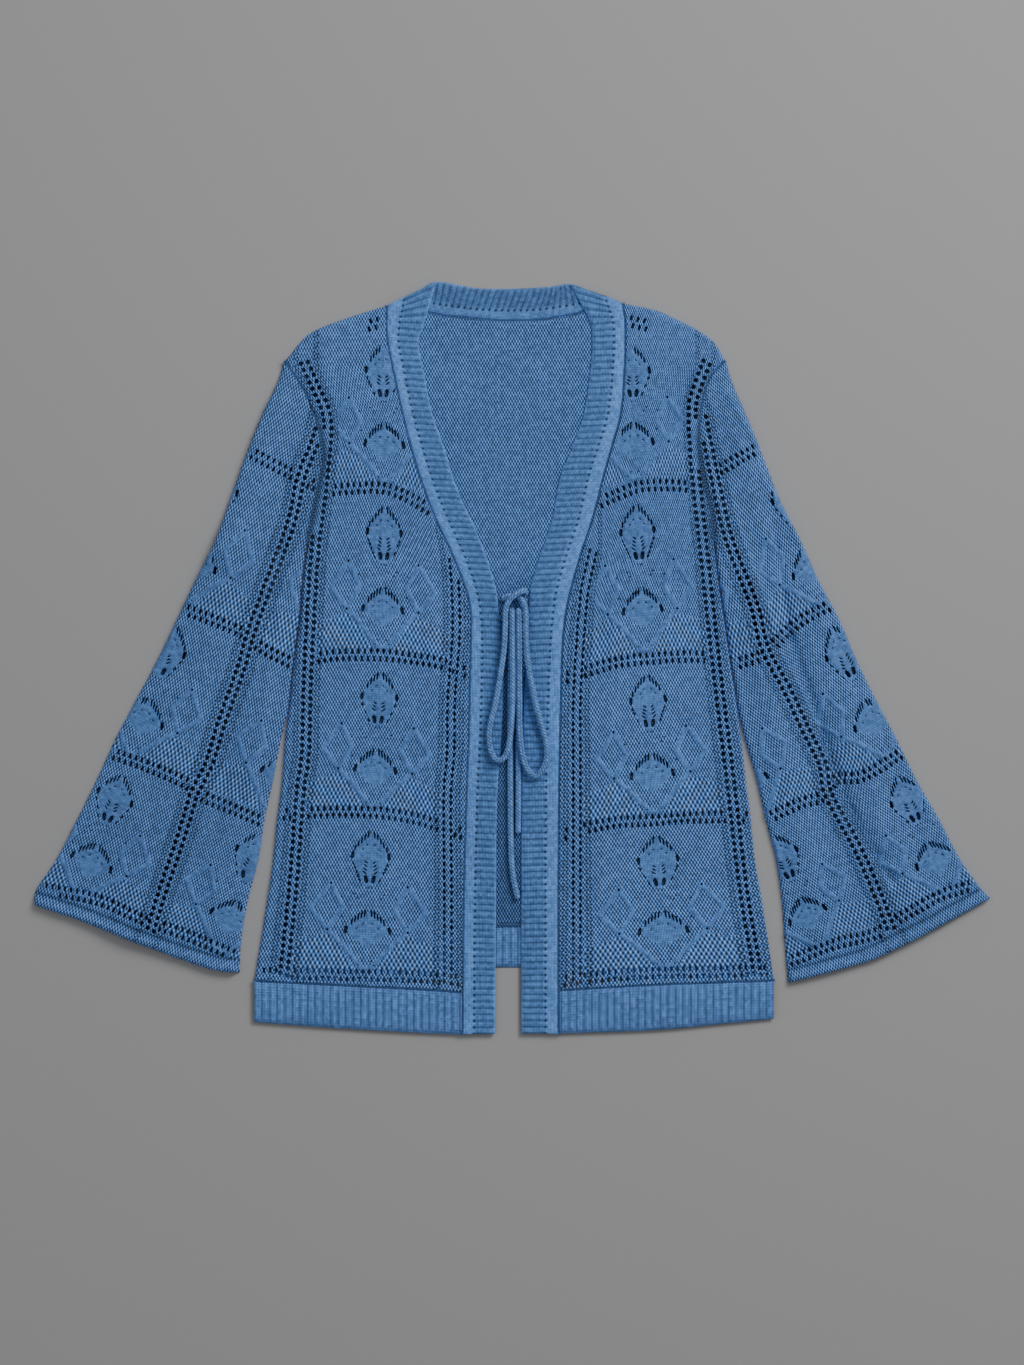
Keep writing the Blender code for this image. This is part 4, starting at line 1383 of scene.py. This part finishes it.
def makeSeams():
    lines = []
    for side in ("right", "left"):
        edge = bodyEdge(side)
        for line in (edge[edge[:, 1] > sleeve["armholeFrom"]], bandSeam(side), hemSeam(side)):
            lines.append((pitched(line, fineStep), chain["onFronts"]))
    lines.append((pitched(neckSeam(fineStep), fineStep), chain["onBack"]))
    under = pitched(softLine([row[:2] for row in backHem], fineStep), fineStep)
    lines.append((under[np.abs(under[:, 0]) < chain["backHemReach"]], chain["onBack"]))
    lines = [np.column_stack([line, np.full(len(line), height)]) for line, height in lines]
    points = np.vstack(lines) * mm
    edges = []
    first = 0
    for line in lines:
        edges += [(first + i, first + i + 1) for i in range(len(line) - 1)]
        first += len(line)
    mesh = bpy.data.meshes.new("seam_chain")
    mesh.from_pydata(points.tolist(), edges, [])
    piece = bpy.data.objects.new("seam_chain", mesh)
    bpy.context.scene.collection.objects.link(piece)
    grownBy(piece, chainTree(), {"Pitch": chain["pitch"] * mm, "Length": chain["length"] * mm,
                                 "Width": chain["width"] * mm, "Gap": chain["gap"] * mm,
                                 "Lean": chain["lean"], "Material": seamYarn})
    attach(piece, "root")
    print("seam chains", len(piece.data.polygons), "faces")


makeSeams()


# Ties: round knitted cords along their routes, with rounded ends

def makeTie(side):
    line = pitched(softLine(tieRoutes[side], 1.0), tie["step"])
    along = np.gradient(line, axis=0)
    along /= np.linalg.norm(along, axis=1)[:, None]
    normal = np.array([0.0, 0.0, 1.0])
    sides = tie["sides"]
    turns = 2 * math.pi * np.arange(sides) / sides
    points = []
    knit = []
    lengths = lengthsOf(line)
    total = lengths[-1]
    radius = tie["width"] / 2
    for place, ahead, done in zip(line, along, lengths):
        normal = normal - ahead * (normal @ ahead)
        normal /= np.linalg.norm(normal)
        across = np.cross(ahead, normal)
        left = min(done, total - done)
        size = radius * math.sqrt(max(0.02, 1 - (1 - min(left, radius) / radius) ** 2))
        ring = place + size * (np.cos(turns)[:, None] * normal + np.sin(turns)[:, None] * across)
        points.append(ring)
        knit.append(np.column_stack([turns / (2 * math.pi) * yarn["stitchWidth"] * 5, np.full(sides, done)]))
    points = np.vstack(points)
    faces = []
    for r in range(len(line) - 1):
        for s in range(sides):
            t = (s + 1) % sides
            faces.append([r * sides + s, r * sides + t, (r + 1) * sides + t, (r + 1) * sides + s])
    faces.append(list(range(sides))[::-1])
    faces.append(list(range(len(points) - sides, len(points))))
    piece = addPiece("tie_" + side + "_cord", points, faces, tieKnit, np.vstack(knit))
    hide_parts("tie_" + side)
    print("tie", side, round(total), "mm long")


for side in ("right", "left"):
    makeTie(side)


# Floor, light and the camera above the middle of the photograph

def makeStage():
    bpy.ops.mesh.primitive_plane_add(size=6.0, location=(0, 0, 0))
    floor = bpy.context.object
    floor.name = "floor"
    material, _, shader = newMaterial("paleFloor", 0.9, 0.1)
    shader.inputs["Base Color"].default_value = (*stage["floor"], 1)
    floor.data.materials.append(material)
    for name, place, size, power in (("keyLight", (1.5, 1.7, 2.0), 1.3, stage["keyPower"]),
                                     ("fillLight", (-1.6, 0.4, 2.4), 2.4, stage["fillPower"])):
        light = bpy.data.lights.new(name, "AREA")
        light.size = size
        light.energy = power
        lamp = bpy.data.objects.new(name, light)
        lamp.location = place
        lamp.rotation_euler = (-Vector(place)).to_track_quat("-Z", "Y").to_euler()
        bpy.context.scene.collection.objects.link(lamp)
    world = bpy.data.worlds.new("softSky")
    world.use_nodes = True
    world.node_tree.nodes["Background"].inputs[0].default_value = (1, 1, 1, 1)
    world.node_tree.nodes["Background"].inputs[1].default_value = stage["skyLight"]
    bpy.context.scene.world = world


def makeCamera():
    tall = photo["height"] * photo["mmPerPixel"] * mm
    lens = bpy.data.cameras.new("camera")
    lens.lens = 36 * photo["cameraHeight"] / tall
    lens.sensor_width = 36
    camera = bpy.data.objects.new("camera", lens)
    camera.location = (0, -photo["middleDown"] * photo["mmPerPixel"] * mm, photo["cameraHeight"] + 0.005)
    bpy.context.scene.collection.objects.link(camera)
    bpy.context.scene.camera = camera


makeStage()
makeCamera()
print("stage made")
